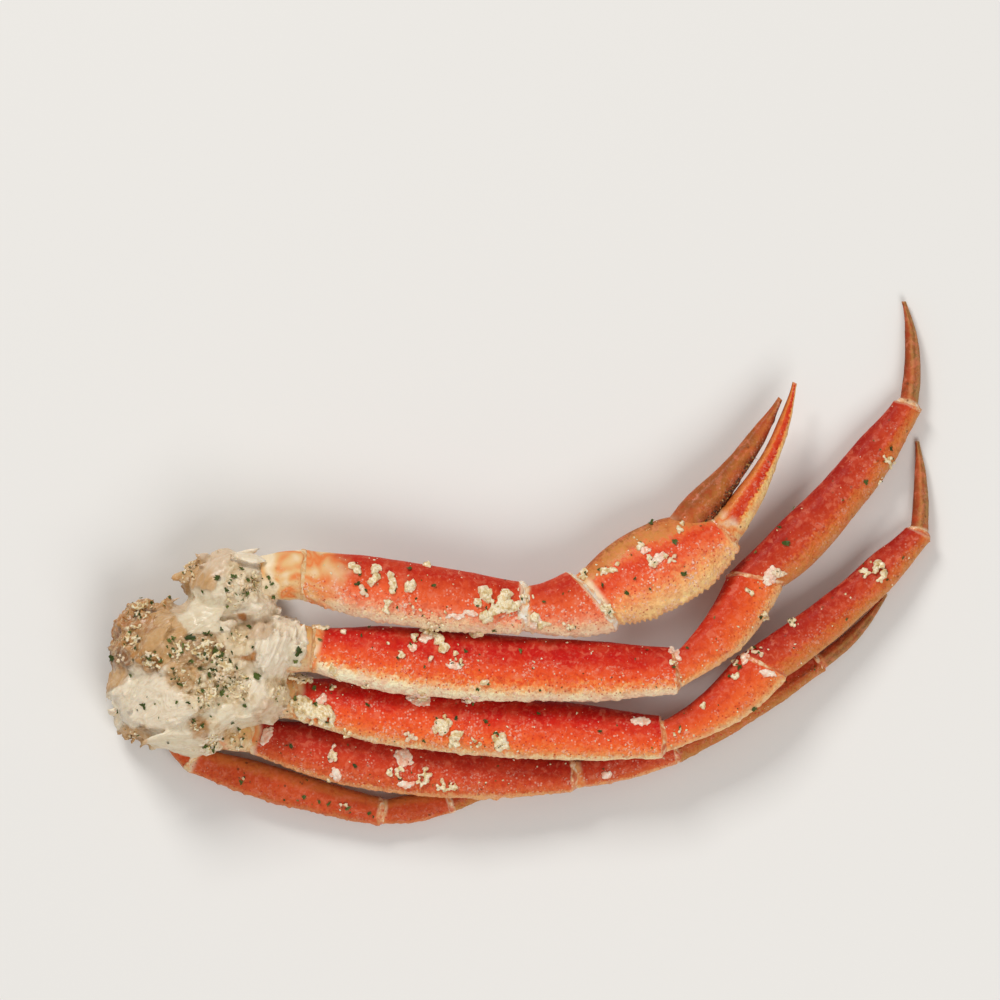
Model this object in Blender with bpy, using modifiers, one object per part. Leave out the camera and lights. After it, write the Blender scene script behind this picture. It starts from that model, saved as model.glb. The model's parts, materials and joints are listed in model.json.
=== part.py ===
"""Snow crab cluster: a cooked shoulder with its claw arm and four walking legs.

The cluster lies on its side with the claw arm uppermost in plan. X runs along the
legs, from the shoulder (-X) to the far joints (+X), and Y runs towards the claw tip.
Each limb is a chain of shell segments that starts in a socket of the shoulder. The
chains are worked out joint by joint from the reach, heading and fall of each segment.
All the sizes below are millimetres and degrees.
"""
import math
import random
from collections import namedtuple

import bmesh
import bpy
from mathutils import Matrix, Vector, noise
from mathutils.bvhtree import BVHTree

MM = 0.001
GAP = 0.3            # gap where two segments meet end to end
CLEARANCE = 0.5      # room round a segment that is let into another piece
LIMB_SEED = 42
SHOULDER_SEED = 5

SIDES = 12           # points round a segment's section
RING_PITCH = 11.0    # distance between the rings of a segment, about
SECTION_POWER = 0.86  # below 1 the section is squarer than an ellipse
END_ROUND = 0.7      # how far the edge at the end of a segment is rounded
END_SCALE = 0.88     # size of the end face against the section beside it
MITRE_FADE = 2.4     # half widths over which a mitred end straightens out
SHARP_EDGE = 50.0    # edges that turn by more are shaded sharp

# One shell segment. reach is its length in plan, heading its direction in plan (0 is
# +X, 90 is +Y) and fall how far it drops. widths are evenly spaced from root to tip,
# depth is the thickness against the width, roll lifts the right-hand edge and bow
# bends the middle of the segment to the right. slant is how far the joint at its tip is
# turned from square, and without it the joint is a mitre.
Segment = namedtuple("Segment", "name reach heading fall widths depth roll bow slant", defaults=(None,))
Limb = namedtuple("Limb", "name socket segments")

LIMBS = (
    Limb("claw", (-72.2, -3.8, 22.4), (
        Segment("ischium", 12.0, 3.4, 0.3, (12.0, 13.8, 14.2), 0.80, 8.0, 0.0),
        Segment("merus", 62.2, -8.6, 1.6, (14.6, 17.6, 18.0, 17.4, 15.0), 0.66, 16.0, 0.9),
        Segment("carpus", 19.9, 5.4, 2.9, (12.6, 16.4, 18.4), 0.74, 8.0, 0.8, 36.0),
        Segment("hand", 41.4, 28.1, 4.2, (17.6, 23.4, 25.2, 22.6, 12.8), 0.55, 14.0, 0.0),
        Segment("finger", 46.5, 64.5, 3.5, (9.8, 8.4, 5.4, 3.6, 1.5), 0.78, 0.0, 2.8),
    )),
    Limb("leg1", (-70.0, -22.6, 20.3), (
        Segment("coxa", 12.4, -7.0, 0.3, (12.5, 14.5, 12.8), 0.80, 16.0, 0.0),
        Segment("merus", 102.2, -3.3, 1.9, (13.2, 19.0, 19.8, 18.8, 17.4, 13.6), 0.58, 20.0, 1.9, 11.0),
        Segment("carpus", 33.6, 48.7, 8.6, (8.4, 12.0, 14.4, 14.6), 0.64, 6.0, 2.8, 33.0),
        Segment("propodus", 65.3, 49.0, 5.5, (14.4, 15.0, 13.4, 12.0, 8.0), 0.66, 5.0, 2.5),
        Segment("dactylus", 29.2, 92.7, 2.2, (5.4, 5.0, 3.8, 1.4), 0.80, 0.0, 1.8),
    )),
    Limb("leg2", (-76.0, -36.0, 15.3), (
        Segment("coxa", 13.4, -6.9, 0.3, (11.5, 13.2, 12.0), 0.80, 18.0, 0.0),
        Segment("merus", 103.9, -6.0, 0.6, (12.4, 18.0, 18.6, 18.0, 16.2, 12.2), 0.58, 21.0, 1.8, 10.0),
        Segment("carpus", 34.3, 35.2, 2.6, (8.0, 11.0, 13.8, 14.2), 0.68, 12.0, 2.3, 30.0),
        Segment("propodus", 57.4, 40.5, 8.0, (13.2, 12.4, 11.4, 10.8, 7.4), 0.68, 6.0, 1.8),
        Segment("dactylus", 25.8, 91.3, 2.8, (5.2, 4.8, 3.6, 1.4), 0.80, 0.0, 0.8),
    )),
    Limb("leg3", (-84.0, -46.0, 11.4), (
        Segment("coxa", 9.4, -11.0, 0.2, (10.4, 11.4, 10.4), 0.80, 16.0, 0.0),
        Segment("merus", 91.0, -7.1, 2.2, (10.6, 16.4, 16.8, 14.6, 10.2), 0.56, 17.0, 3.2),
        Segment("carpus", 29.0, 14.8, 3.6, (7.8, 10.0, 9.2), 0.76, 8.0, 0.4),
        Segment("propodus", 47.6, 30.4, 2.2, (9.2, 9.0, 7.8, 6.0), 0.74, 4.0, 0.6),
        Segment("dactylus", 26.5, 46.1, 2.4, (4.8, 4.4, 3.2, 1.3), 0.80, 0.0, 1.4),
    )),
    Limb("leg4", (-97.0, -47.0, 6.8), (
        Segment("coxa", 9.7, -51.9, 0.8, (7.0, 8.0, 7.6), 0.84, 6.0, 0.0),
        Segment("merus", 54.7, -15.7, 1.5, (8.0, 10.2, 9.6, 8.4), 0.74, 6.0, 0.8),
        Segment("carpus", 19.3, 8.0, 1.2, (7.2, 8.0, 6.4), 0.74, 0.0, 0.4),
        Segment("propodus", 38.0, 25.1, 0.6, (6.2, 6.2, 5.6, 4.6), 0.80, 0.0, 0.5),
        Segment("dactylus", 24.0, 12.0, 1.0, (4.0, 3.6, 2.8, 1.3), 0.84, 0.0, 0.8),
    )),
)

# The fixed finger grows from the palm beside the moving one: where it starts on the
# hand (along, across), and its own segment.
FIXED_ROOT = (0.62, -0.44)
FIXED_FINGER = Segment("fixed", 51.8, 51.1, 3.8, (8.0, 10.4, 7.6, 5.4, 1.6), 0.80, 0.0, 2.3)

# Lobes of the shoulder meat: centre, then half sizes.
LOBES = (
    ((-93.0, -38.5, 13.0), (20.0, 15.0, 17.0)),
    ((-106.2, -35.5, 9.0), (9.2, 12.5, 13.0)),
    ((-91.5, -24.5, 15.0), (22.0, 13.5, 19.0)),
    ((-105.0, -18.4, 11.5), (9.0, 8.2, 14.0)),
    ((-79.6, -6.2, 15.0), (13.8, 10.4, 17.5)),
    ((-88.4, -6.0, 11.5), (6.0, 7.0, 11.5)),
    ((-70.5, -23.5, 18.5), (13.5, 10.0, 13.0)),
    ((-73.5, -11.5, 17.0), (6.5, 7.6, 13.0)),
    ((-74.5, -36.5, 14.5), (12.0, 10.5, 14.5)),
    ((-89.5, -47.0, 8.5), (16.0, 7.0, 11.0)),
    ((-107.2, -43.4, 7.0), (6.3, 6.3, 9.0)),
)
RELIEF_VOXEL = 2.0   # grid that carries the relief
LOBE_VOXEL = 3.2     # grid of the finished form
LOBE_RELIEF = 2.6    # depth of the torn, flaky relief
FLAKE_SIZE = 6.5     # size of that relief

# Where garlic and herbs lie on each piece: along it, across it (1 is the right-hand
# edge), how many grains, how far they spread and how large they are.
TOPPINGS = {
    "claw_merus": ((0.22, -0.38, 1, 0.0, 1.5), (0.36, -0.18, 2, 2.0, 1.4), (0.47, 0.05, 2, 2.0, 1.4),
                   (0.87, 0.08, 7, 4.2, 2.1)),
    "claw_hand": ((0.20, -0.36, 2, 2.2, 1.4), (0.46, -0.30, 2, 3.0, 1.5), (0.58, 0.07, 1, 0.0, 1.4),
                  (0.75, -0.35, 2, 2.4, 1.6)),
    "leg1_merus": ((0.08, -0.50, 1, 0.0, 1.6), (0.30, -0.46, 2, 2.0, 1.6), (0.34, -0.12, 4, 3.4, 1.9),
                   (0.37, 0.34, 3, 3.4, 1.5), (0.85, 0.10, 1, 0.0, 1.5)),
    "leg1_carpus": ((0.75, 0.35, 1, 0.0, 1.5),),
    "leg1_propodus": ((0.20, -0.15, 1, 0.0, 1.2), (0.72, 0.40, 2, 3.0, 1.3)),
    "leg2_merus": ((0.05, 0.45, 5, 3.6, 1.7), (0.34, -0.25, 1, 0.0, 1.6), (0.41, 0.34, 4, 3.6, 2.0),
                   (0.47, -0.35, 1, 0.0, 1.5), (0.57, 0.52, 2, 2.6, 1.6)),
    "leg2_carpus": ((0.80, -0.35, 2, 2.6, 1.5),),
    "leg2_propodus": ((0.70, -0.10, 4, 3.2, 1.8),),
    "leg3_merus": ((0.26, 0.25, 1, 0.0, 1.4), (0.50, 0.45, 2, 3.4, 1.4), (0.61, 0.55, 2, 2.0, 1.4)),
    "leg4_merus": ((0.27, 0.20, 1, 0.0, 1.1), (0.80, 0.20, 2, 4.0, 1.1)),
}
# On the shoulder the grains are named by their place in plan and fall onto its top.
SHOULDER_TOPPINGS = (
    (-88.0, -27.0, 9, 6.5, 1.9), (-92.0, -41.0, 6, 9.0, 1.5), (-82.0, -8.0, 6, 6.0, 1.8),
    (-104.0, -21.0, 4, 4.0, 1.8), (-76.0, -36.0, 4, 4.0, 1.7),
)
GRAIN_SINK = 0.45    # share of a grain's half height that is under the surface
LUMP_HEIGHT = 0.75   # height of a lump against its width
FLAKE_HEIGHT = 0.40
FLAKE_SHARE = 0.25   # share of the grains that are flakes

Finish = namedtuple("Finish", "name colour roughness")
RED_SHELL = Finish("red_shell", (0.62, 0.10, 0.035), 0.36)
DARK_SHELL = Finish("dark_shell", (0.36, 0.055, 0.025), 0.42)
MEAT = Finish("shoulder_meat", (0.84, 0.76, 0.62), 0.50)


def smooth_profile(values, along):
    """The value at a share of the length, on a smooth curve through even stations."""
    place = min(max(along, 0.0), 1.0) * (len(values) - 1)
    first = min(int(place), len(values) - 2)
    share = place - first
    before = values[max(first - 1, 0)]
    here = values[first]
    there = values[first + 1]
    beyond = values[min(first + 2, len(values) - 1)]
    bend = 2.0 * before - 5.0 * here + 4.0 * there - beyond
    twist = 3.0 * (here - there) + beyond - before
    return here + 0.5 * share * (there - before + share * (bend + share * twist))


class Shell:
    """A segment in place: its axis, its section at any point and its end planes."""

    def __init__(self, name, start, segment):
        self.name = name
        self.start = start
        self.segment = segment
        turn = math.radians(segment.heading)
        flat = Vector((math.cos(turn), math.sin(turn), 0.0))
        self.chord = flat * segment.reach - Vector((0.0, 0.0, segment.fall))
        self.axis = self.chord.normalized()
        self.right = Vector((flat.y, -flat.x, 0.0))
        self.root_normal = self.axis
        self.tip_normal = self.axis

    @property
    def end(self):
        return self.start + self.chord

    def frame(self, along):
        """Centre, sideways and outward directions of the section at a share along."""
        bow = self.segment.bow
        centre = self.start + self.chord * along + self.right * (4.0 * bow * along * (1.0 - along))
        tangent = (self.chord + self.right * (4.0 * bow * (1.0 - 2.0 * along))).normalized()
        level = Vector((tangent.y, -tangent.x, 0.0)).normalized()
        upward = level.cross(tangent)
        roll = math.radians(self.segment.roll)
        side = level * math.cos(roll) + upward * math.sin(roll)
        return centre, side, side.cross(tangent)

    def half_sizes(self, along):
        half_width = smooth_profile(self.segment.widths, along) / 2.0
        return half_width, half_width * self.segment.depth

    def point(self, along, angle, scale=1.0, inset=0.0):
        """A point of the skin; inset moves it along the axis from the root."""
        centre, side, up = self.frame(along)
        half_width, half_depth = self.half_sizes(along)
        across = math.copysign(abs(math.cos(angle)) ** SECTION_POWER, math.cos(angle))
        over = math.copysign(abs(math.sin(angle)) ** SECTION_POWER, math.sin(angle))
        offset = (side * across * half_width + up * over * half_depth) * scale
        fade = MITRE_FADE * half_width / self.chord.length
        root_share = max(0.0, 1.0 - along / fade) ** 2
        tip_share = max(0.0, 1.0 - (1.0 - along) / fade) ** 2
        shift = inset
        shift -= root_share * offset.dot(self.root_normal) / self.axis.dot(self.root_normal)
        shift -= tip_share * offset.dot(self.tip_normal) / self.axis.dot(self.tip_normal)
        return centre + offset + self.axis * shift


def chain(limb):
    """The limb's segments in place, with one plane where two of them meet."""
    shells = []
    start = Vector(limb.socket)
    for segment in limb.segments:
        shell = Shell(f"{limb.name}_{segment.name}", start, segment)
        shells.append(shell)
        start = shell.end
    for inner, outer in zip(shells, shells[1:]):
        square = (inner.axis + outer.axis).normalized()
        if inner.segment.slant is not None:
            square = Matrix.Rotation(math.radians(inner.segment.slant), 3, "Z") @ inner.axis
        inner.tip_normal = square
        outer.root_normal = square
    return shells


def shell_mesh(shell, swell=0.0):
    """Loft of a segment's sections with rounded ends; swell is for a larger copy."""
    mesh = bmesh.new()
    length = shell.chord.length
    count = max(4, round(length / RING_PITCH) + 1)
    reach = 1.0 - (GAP + END_ROUND) / length
    shorten = GAP / 2.0 - swell
    stations = [(0.0, END_SCALE, shorten)]
    for index in range(count):
        share = index / (count - 1)
        along = (1.0 - reach) + (2.0 * reach - 1.0) * share
        stations.append((along, 1.0, 0.0))
    stations.append((1.0, END_SCALE, -shorten))
    rings = []
    for along, scale, inset in stations:
        half_width = shell.half_sizes(along)[0]
        larger = scale * (1.0 + swell / half_width)
        ring = []
        for corner in range(SIDES):
            angle = math.tau * corner / SIDES
            ring.append(mesh.verts.new(shell.point(along, angle, larger, inset)))
        rings.append(ring)
    for ring, following in zip(rings, rings[1:]):
        for corner in range(SIDES):
            after = (corner + 1) % SIDES
            mesh.faces.new((ring[corner], ring[after], following[after], following[corner]))
    mesh.faces.new(list(reversed(rings[0])))
    mesh.faces.new(rings[-1])
    bmesh.ops.recalc_face_normals(mesh, faces=mesh.faces)
    return mesh


def finish_material(finish):
    material = bpy.data.materials.get(finish.name)
    if material:
        return material
    material = bpy.data.materials.new(finish.name)
    material.use_nodes = True
    shader = material.node_tree.nodes["Principled BSDF"]
    shader.inputs["Base Color"].default_value = (*finish.colour, 1.0)
    shader.inputs["Roughness"].default_value = finish.roughness
    shader.inputs["Metallic"].default_value = 0.0
    return material


def shade(data):
    data.shade_smooth()
    data.set_sharp_from_angle(angle=math.radians(SHARP_EDGE))


def add_object(name, mesh, finish, collection):
    """A named object in metres from a mesh modelled in millimetres."""
    bmesh.ops.transform(mesh, matrix=Matrix.Scale(MM, 4), verts=mesh.verts)
    data = bpy.data.meshes.new(name)
    mesh.to_mesh(data)
    mesh.free()
    shade(data)
    if finish:
        data.materials.append(finish_material(finish))
    thing = bpy.data.objects.new(name, data)
    collection.objects.link(thing)
    return thing


def apply_modifiers(thing):
    """Keep the evaluated mesh and drop the modifiers."""
    graph = bpy.context.evaluated_depsgraph_get()
    data = bpy.data.meshes.new_from_object(thing.evaluated_get(graph))
    thing.modifiers.clear()
    thing.data = data


def drop_scraps(thing):
    """Keep the largest connected body of a mesh."""
    mesh = bmesh.new()
    mesh.from_mesh(thing.data)
    waiting = set(mesh.verts)
    bodies = []
    while waiting:
        body = set()
        edge_of_body = [waiting.pop()]
        while edge_of_body:
            vert = edge_of_body.pop()
            body.add(vert)
            near = {edge.other_vert(vert) for edge in vert.link_edges} & waiting
            waiting -= near
            edge_of_body += near
        bodies.append(body)
    largest = max(bodies, key=len)
    bmesh.ops.delete(mesh, geom=[vert for vert in mesh.verts if vert not in largest], context="VERTS")
    mesh.to_mesh(thing.data)
    mesh.free()


def combine(thing, helpers, operation, solver="EXACT"):
    """One Boolean of a whole helper collection, applied; the helpers are removed."""
    joining = thing.modifiers.new(operation.title(), "BOOLEAN")
    joining.operation = operation
    joining.operand_type = "COLLECTION"
    joining.collection = helpers
    joining.solver = solver
    apply_modifiers(thing)
    drop_scraps(thing)
    shade(thing.data)
    for helper in list(helpers.objects):
        bpy.data.objects.remove(helper, do_unlink=True)
    bpy.data.collections.remove(helpers)


def helper_collection(name):
    helpers = bpy.data.collections.new(name)
    bpy.context.scene.collection.children.link(helpers)
    return helpers


def hide_helper(helper):
    helper.hide_render = True
    helper.display_type = "WIRE"


def grain(helpers, place, outward, radius, draw):
    """A lump of garlic or a flatter herb flake, sunk a little into the surface."""
    is_flake = draw.random() < FLAKE_SHARE
    height = FLAKE_HEIGHT if is_flake else LUMP_HEIGHT
    mesh = bmesh.new()
    bmesh.ops.create_icosphere(mesh, subdivisions=1, radius=radius)
    for vert in mesh.verts:
        vert.co *= draw.uniform(0.82, 1.14)
    stretch = Matrix.Diagonal((draw.uniform(0.9, 1.3), draw.uniform(0.75, 1.0), height, 1.0))
    spin = Matrix.Rotation(draw.uniform(0.0, math.tau), 4, "Z")
    lean = outward.to_track_quat("Z", "Y").to_matrix().to_4x4()
    centre = place + outward * radius * height * (1.0 - GRAIN_SINK)
    mesh.transform(Matrix.Translation(centre) @ lean @ spin @ stretch)
    hide_helper(add_object("grain", mesh, None, helpers))


def top_shell(thing, shell, draw):
    """Fuse a segment's toppings to its upper face."""
    spots = TOPPINGS.get(shell.name)
    if not spots:
        return
    helpers = helper_collection(f"{shell.name}_toppings")
    half_width = max(shell.segment.widths) / 2.0
    for along, across, count, spread, size in spots:
        for _ in range(count):
            bearing = draw.uniform(0.0, math.tau)
            far = spread * math.sqrt(draw.random())
            station = along + far * math.cos(bearing) / shell.chord.length
            side = min(max(across + far * math.sin(bearing) / half_width, -0.75), 0.75)
            angle = math.acos(side)
            place = shell.point(station, angle)
            centre = shell.frame(station)[0]
            outward = (place - centre).normalized()
            grain(helpers, place, outward, size * draw.uniform(0.75, 1.1), draw)
    combine(thing, helpers, "UNION")


def helper_shell(helpers, shell, swell=0.0):
    hide_helper(add_object("helper", shell_mesh(shell, swell), None, helpers))


def add_fixed_finger(hand, palm, moving_finger):
    """Grow the fixed finger from the palm and keep it clear of the moving one."""
    along, across = FIXED_ROOT
    centre, side, _ = palm.frame(along)
    root = centre + side * across * palm.half_sizes(along)[0]
    fixed = helper_collection("fixed_finger")
    helper_shell(fixed, Shell("fixed", root, FIXED_FINGER))
    combine(hand, fixed, "UNION")
    clearance = helper_collection("finger_clearance")
    helper_shell(clearance, moving_finger, swell=CLEARANCE)
    combine(hand, clearance, "DIFFERENCE")


def top_shoulder(shoulder, draw):
    """Fuse the shoulder's toppings where they fall on it from above."""
    data = shoulder.data
    places = [vert.co / MM for vert in data.vertices]
    surface = BVHTree.FromPolygons(places, [face.vertices[:] for face in data.polygons])
    helpers = helper_collection("shoulder_toppings")
    above = max(place.z for place in places) + 1.0
    for x, y, count, spread, size in SHOULDER_TOPPINGS:
        for _ in range(count):
            bearing = draw.uniform(0.0, math.tau)
            far = spread * math.sqrt(draw.random())
            start = Vector((x + far * math.cos(bearing), y + far * math.sin(bearing), above))
            place, outward = surface.ray_cast(start, Vector((0.0, 0.0, -1.0)))[:2]
            grain(helpers, place, outward, size * draw.uniform(0.75, 1.1), draw)
    combine(shoulder, helpers, "UNION", "MANIFOLD")


def weld(thing, voxel):
    """Weld overlapping forms into one even skin."""
    remesh = thing.modifiers.new("Weld", "REMESH")
    remesh.mode = "VOXEL"
    remesh.voxel_size = voxel * MM
    apply_modifiers(thing)


def make_shoulder(parts, sockets, draw):
    """Lobes of meat welded into one craggy form, with a socket for each limb."""
    mesh = bmesh.new()
    for centre, half_sizes in LOBES:
        matrix = Matrix.Translation(centre) @ Matrix.Diagonal((*half_sizes, 1.0))
        bmesh.ops.create_uvsphere(mesh, u_segments=20, v_segments=12, radius=1.0, matrix=matrix)
    shoulder = add_object("shoulder", mesh, MEAT, parts)
    weld(shoulder, RELIEF_VOXEL)
    for vert in shoulder.data.vertices:
        crag = noise.noise(vert.co / (FLAKE_SIZE * MM))
        vert.co += vert.normal * LOBE_RELIEF * crag * MM
    weld(shoulder, LOBE_VOXEL)
    mesh = bmesh.new()
    mesh.from_mesh(shoulder.data)
    whole = list(mesh.verts) + list(mesh.edges) + list(mesh.faces)
    bmesh.ops.bisect_plane(mesh, geom=whole, plane_co=(0.0, 0.0, 0.0), plane_no=(0.0, 0.0, -1.0),
                           clear_outer=True)
    bmesh.ops.holes_fill(mesh, edges=[edge for edge in mesh.edges if edge.is_boundary])
    mesh.to_mesh(shoulder.data)
    mesh.free()
    for shell in sockets:
        cutter = helper_collection("socket")
        helper_shell(cutter, shell, swell=CLEARANCE)
        combine(shoulder, cutter, "DIFFERENCE", "MANIFOLD")
    top_shoulder(shoulder, draw)


def main():
    for thing in list(bpy.data.objects):
        bpy.data.objects.remove(thing, do_unlink=True)
    parts = bpy.data.collections.new("snow_crab_cluster")
    bpy.context.scene.collection.children.link(parts)
    draw = random.Random(LIMB_SEED)
    roots = []
    for limb in LIMBS:
        shells = chain(limb)
        roots += shells[:2]
        for shell in shells:
            dark = limb.name in ("leg3", "leg4") or shell.segment.name == "dactylus"
            finish = DARK_SHELL if dark else RED_SHELL
            thing = add_object(shell.name, shell_mesh(shell), finish, parts)
            if shell.name == "claw_hand":
                add_fixed_finger(thing, shell, shells[-1])
            top_shell(thing, shell, draw)
    make_shoulder(parts, roots, random.Random(SHOULDER_SEED))


main()
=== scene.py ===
"""Snow crab cluster: the cooked shoulder of a crab with its claw arm and four legs.

One section for each limb, from the claw arm down to the last leg, then the joints, the
shoulder and what lies on it, and last the floor, the light and the camera. The tables
hold millimetres and degrees, as in the part's own source.
"""

import cmath
import itertools
import json
import math

import bmesh
import bpy
import numpy as np
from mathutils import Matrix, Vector, noise
from mathutils.bvhtree import BVHTree

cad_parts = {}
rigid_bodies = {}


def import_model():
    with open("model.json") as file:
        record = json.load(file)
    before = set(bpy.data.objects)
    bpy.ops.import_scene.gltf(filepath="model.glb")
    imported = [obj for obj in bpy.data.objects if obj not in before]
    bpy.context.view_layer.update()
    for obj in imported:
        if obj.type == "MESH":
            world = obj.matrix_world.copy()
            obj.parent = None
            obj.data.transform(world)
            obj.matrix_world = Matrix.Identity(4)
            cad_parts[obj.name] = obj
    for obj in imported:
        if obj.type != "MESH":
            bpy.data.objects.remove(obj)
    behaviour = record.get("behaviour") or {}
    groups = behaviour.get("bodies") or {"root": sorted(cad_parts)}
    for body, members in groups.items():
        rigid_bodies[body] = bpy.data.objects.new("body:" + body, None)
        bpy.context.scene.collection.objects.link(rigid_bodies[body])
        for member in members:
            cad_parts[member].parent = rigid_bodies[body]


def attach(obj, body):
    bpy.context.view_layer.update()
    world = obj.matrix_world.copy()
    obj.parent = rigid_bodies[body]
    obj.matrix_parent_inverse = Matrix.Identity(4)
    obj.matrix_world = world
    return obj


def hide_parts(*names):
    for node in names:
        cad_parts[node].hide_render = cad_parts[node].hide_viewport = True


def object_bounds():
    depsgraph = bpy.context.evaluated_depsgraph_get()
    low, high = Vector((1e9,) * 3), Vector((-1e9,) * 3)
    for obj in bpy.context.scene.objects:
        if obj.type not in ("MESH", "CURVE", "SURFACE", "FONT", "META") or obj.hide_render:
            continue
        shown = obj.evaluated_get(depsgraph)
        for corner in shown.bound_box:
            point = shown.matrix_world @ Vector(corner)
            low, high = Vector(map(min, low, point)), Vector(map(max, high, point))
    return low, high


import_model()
bare_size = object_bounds()

# --- Claw arm -------------------------------------------------------------------------
# The limb that carries the claw: ischium, merus and carpus are tubes of boiled shell, end
# to end from a socket in the shoulder. Red-orange above, with a cream, granular lower
# edge, and the two next to the shoulder end in swirls of cream and orange.
MM = 0.001            # a millimetre in metres
END_GAP = 0.15        # half the gap between two segments
END_REACH = 1.15      # how far from its end a segment has its full section
SECTION_POWER = 0.86  # below 1 the section is squarer than an ellipse
MITRE_FADE = 2.4      # half widths over which a mitred end straightens out
SKIN_PITCH = 0.42     # distance between the points of a shell
# The rings that round off an end: how far they lie from it, and their size.
END_RINGS = np.array(((0.0, 0.0), (0.0, 0.45), (0.0, 0.88), (0.10, 0.93), (0.35, 0.975), (0.75, 1.0)))


def unit(vectors):
    return vectors / np.linalg.norm(vectors, axis=-1, keepdims=True)


def step(low, high, values):
    """0 below low, 1 above high and a smooth rise between them."""
    share = np.clip((values - low) / (high - low), 0.0, 1.0)
    return share * share * (3.0 - 2.0 * share)


def rough(points, size, seed=0):
    """Smooth random values from -1 to 1 that change over about this size."""
    place = points / size + 31.7 * (seed + 1)
    cell = np.floor(place).astype(np.int64)
    share = place - cell
    share = share * share * (3.0 - 2.0 * share)
    total = np.zeros(points.shape[:-1])
    for corner in itertools.product((0, 1), repeat=3):
        at = cell + corner
        mixed = at[..., 0] * 73856093 ^ at[..., 1] * 19349663 ^ at[..., 2] * 83492791
        mixed = (mixed ^ (mixed >> 13)) * 1274126177
        value = ((mixed ^ (mixed >> 16)) & 0xFFFF) / 32767.5 - 1.0
        total += value * np.prod(np.where(corner, share, 1.0 - share), axis=-1)
    return total


def curve_value(values, along):
    """A smooth curve through evenly spaced values, read at shares of its length."""
    values = np.asarray(values, float)
    place = np.clip(along, 0.0, 1.0) * (len(values) - 1)
    first = np.minimum(place.astype(int), len(values) - 2)
    share = place - first
    before = values[np.maximum(first - 1, 0)]
    here = values[first]
    there = values[first + 1]
    beyond = values[np.minimum(first + 2, len(values) - 1)]
    bend = 2.0 * before - 5.0 * here + 4.0 * there - beyond
    twist = 3.0 * (here - there) + beyond - before
    return here + 0.5 * share * (there - before + share * (bend + share * twist))


def squared(share):
    """A sine or cosine made squarer, for the outline of a section."""
    return np.sign(share) * np.abs(share) ** SECTION_POWER


class Shell:
    """One segment in place: where its axis runs, how its section changes, its ends."""

    def __init__(self, name, start, reach, heading, fall, widths, depth, roll, bow, slant=None):
        turn = math.radians(heading)
        flat = np.array((math.cos(turn), math.sin(turn), 0.0))
        self.name = name
        self.start = np.array(start, float)
        self.chord = flat * reach - np.array((0.0, 0.0, fall))
        self.length = float(np.linalg.norm(self.chord))
        self.axis = self.chord / self.length
        self.right = np.array((flat[1], -flat[0], 0.0))
        self.widths = widths
        self.depth = depth
        self.roll = math.radians(roll)
        self.bow = bow
        self.slant = slant
        self.root_normal = self.axis
        self.tip_normal = self.axis

    def frame(self, along):
        """Centre, sideways and outward directions at shares of the length."""
        share = np.asarray(along, float)[..., None]
        centre = self.start + self.chord * share + self.right * (4.0 * self.bow * share * (1.0 - share))
        tangent = unit(self.chord + self.right * (4.0 * self.bow * (1.0 - 2.0 * share)))
        level = unit(np.stack((tangent[..., 1], -tangent[..., 0], 0.0 * tangent[..., 0]), -1))
        side = level * math.cos(self.roll) + np.cross(level, tangent) * math.sin(self.roll)
        return centre, side, np.cross(side, tangent)

    def half_width(self, along):
        return curve_value(self.widths, np.asarray(along, float)) / 2.0

    def skin(self, along, angle, scale=1.0):
        """Points of the surface; angle 0 is the right-hand edge and 90 degrees the top."""
        along, angle, scale = np.broadcast_arrays(along, angle, scale)
        centre, side, up = self.frame(along)
        wide = self.half_width(along)
        across = squared(np.cos(angle)) * wide * scale
        over = squared(np.sin(angle)) * wide * self.depth * scale
        offset = side * across[..., None] + up * over[..., None]
        fade = MITRE_FADE * wide / self.length
        shift = -np.clip(1.0 - along / fade, 0.0, 1.0) ** 2 * (offset @ self.root_normal)
        shift /= self.axis @ self.root_normal
        tip_shift = np.clip(1.0 - (1.0 - along) / fade, 0.0, 1.0) ** 2 * (offset @ self.tip_normal)
        shift -= tip_shift / (self.axis @ self.tip_normal)
        return centre + offset + self.axis * shift[..., None]

    def outward(self, along, angle):
        """Direction away from the axis, square to the section's outline."""
        along, angle = np.broadcast_arrays(along, angle)
        side, up = self.frame(along)[1:]
        return unit(side * np.cos(angle)[..., None] * self.depth + up * np.sin(angle)[..., None])


def chain(limb, socket, rows):
    """The segments of a limb by name, each starting where the one before it ends."""
    shells = {}
    start = np.array(socket, float)
    for name, *sizes in rows:
        shells[name] = Shell(f"{limb}_{name}", start, *sizes)
        start = start + shells[name].chord
    in_order = list(shells.values())
    for inner, outer in zip(in_order, in_order[1:]):
        square = unit(inner.axis + outer.axis)
        if inner.slant is not None:
            turn = complex(inner.axis[0], inner.axis[1]) * cmath.rect(1.0, math.radians(inner.slant))
            square = np.array((turn.real, turn.imag, inner.axis[2]))
        inner.tip_normal = outer.root_normal = square
    return shells


# What a mesh calls a field of one, three or four numbers a point.
KINDS = {1: ("FLOAT", "value"), 3: ("FLOAT_VECTOR", "vector"), 4: ("FLOAT_COLOR", "color")}


def store(mesh, name, values):
    """Keep a number, a direction or a colour for each point of a mesh."""
    kind, part = KINDS[values.size // max(1, len(mesh.vertices))]
    mesh.attributes.new(name, kind, "POINT").data.foreach_set(part, values.ravel())


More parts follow.
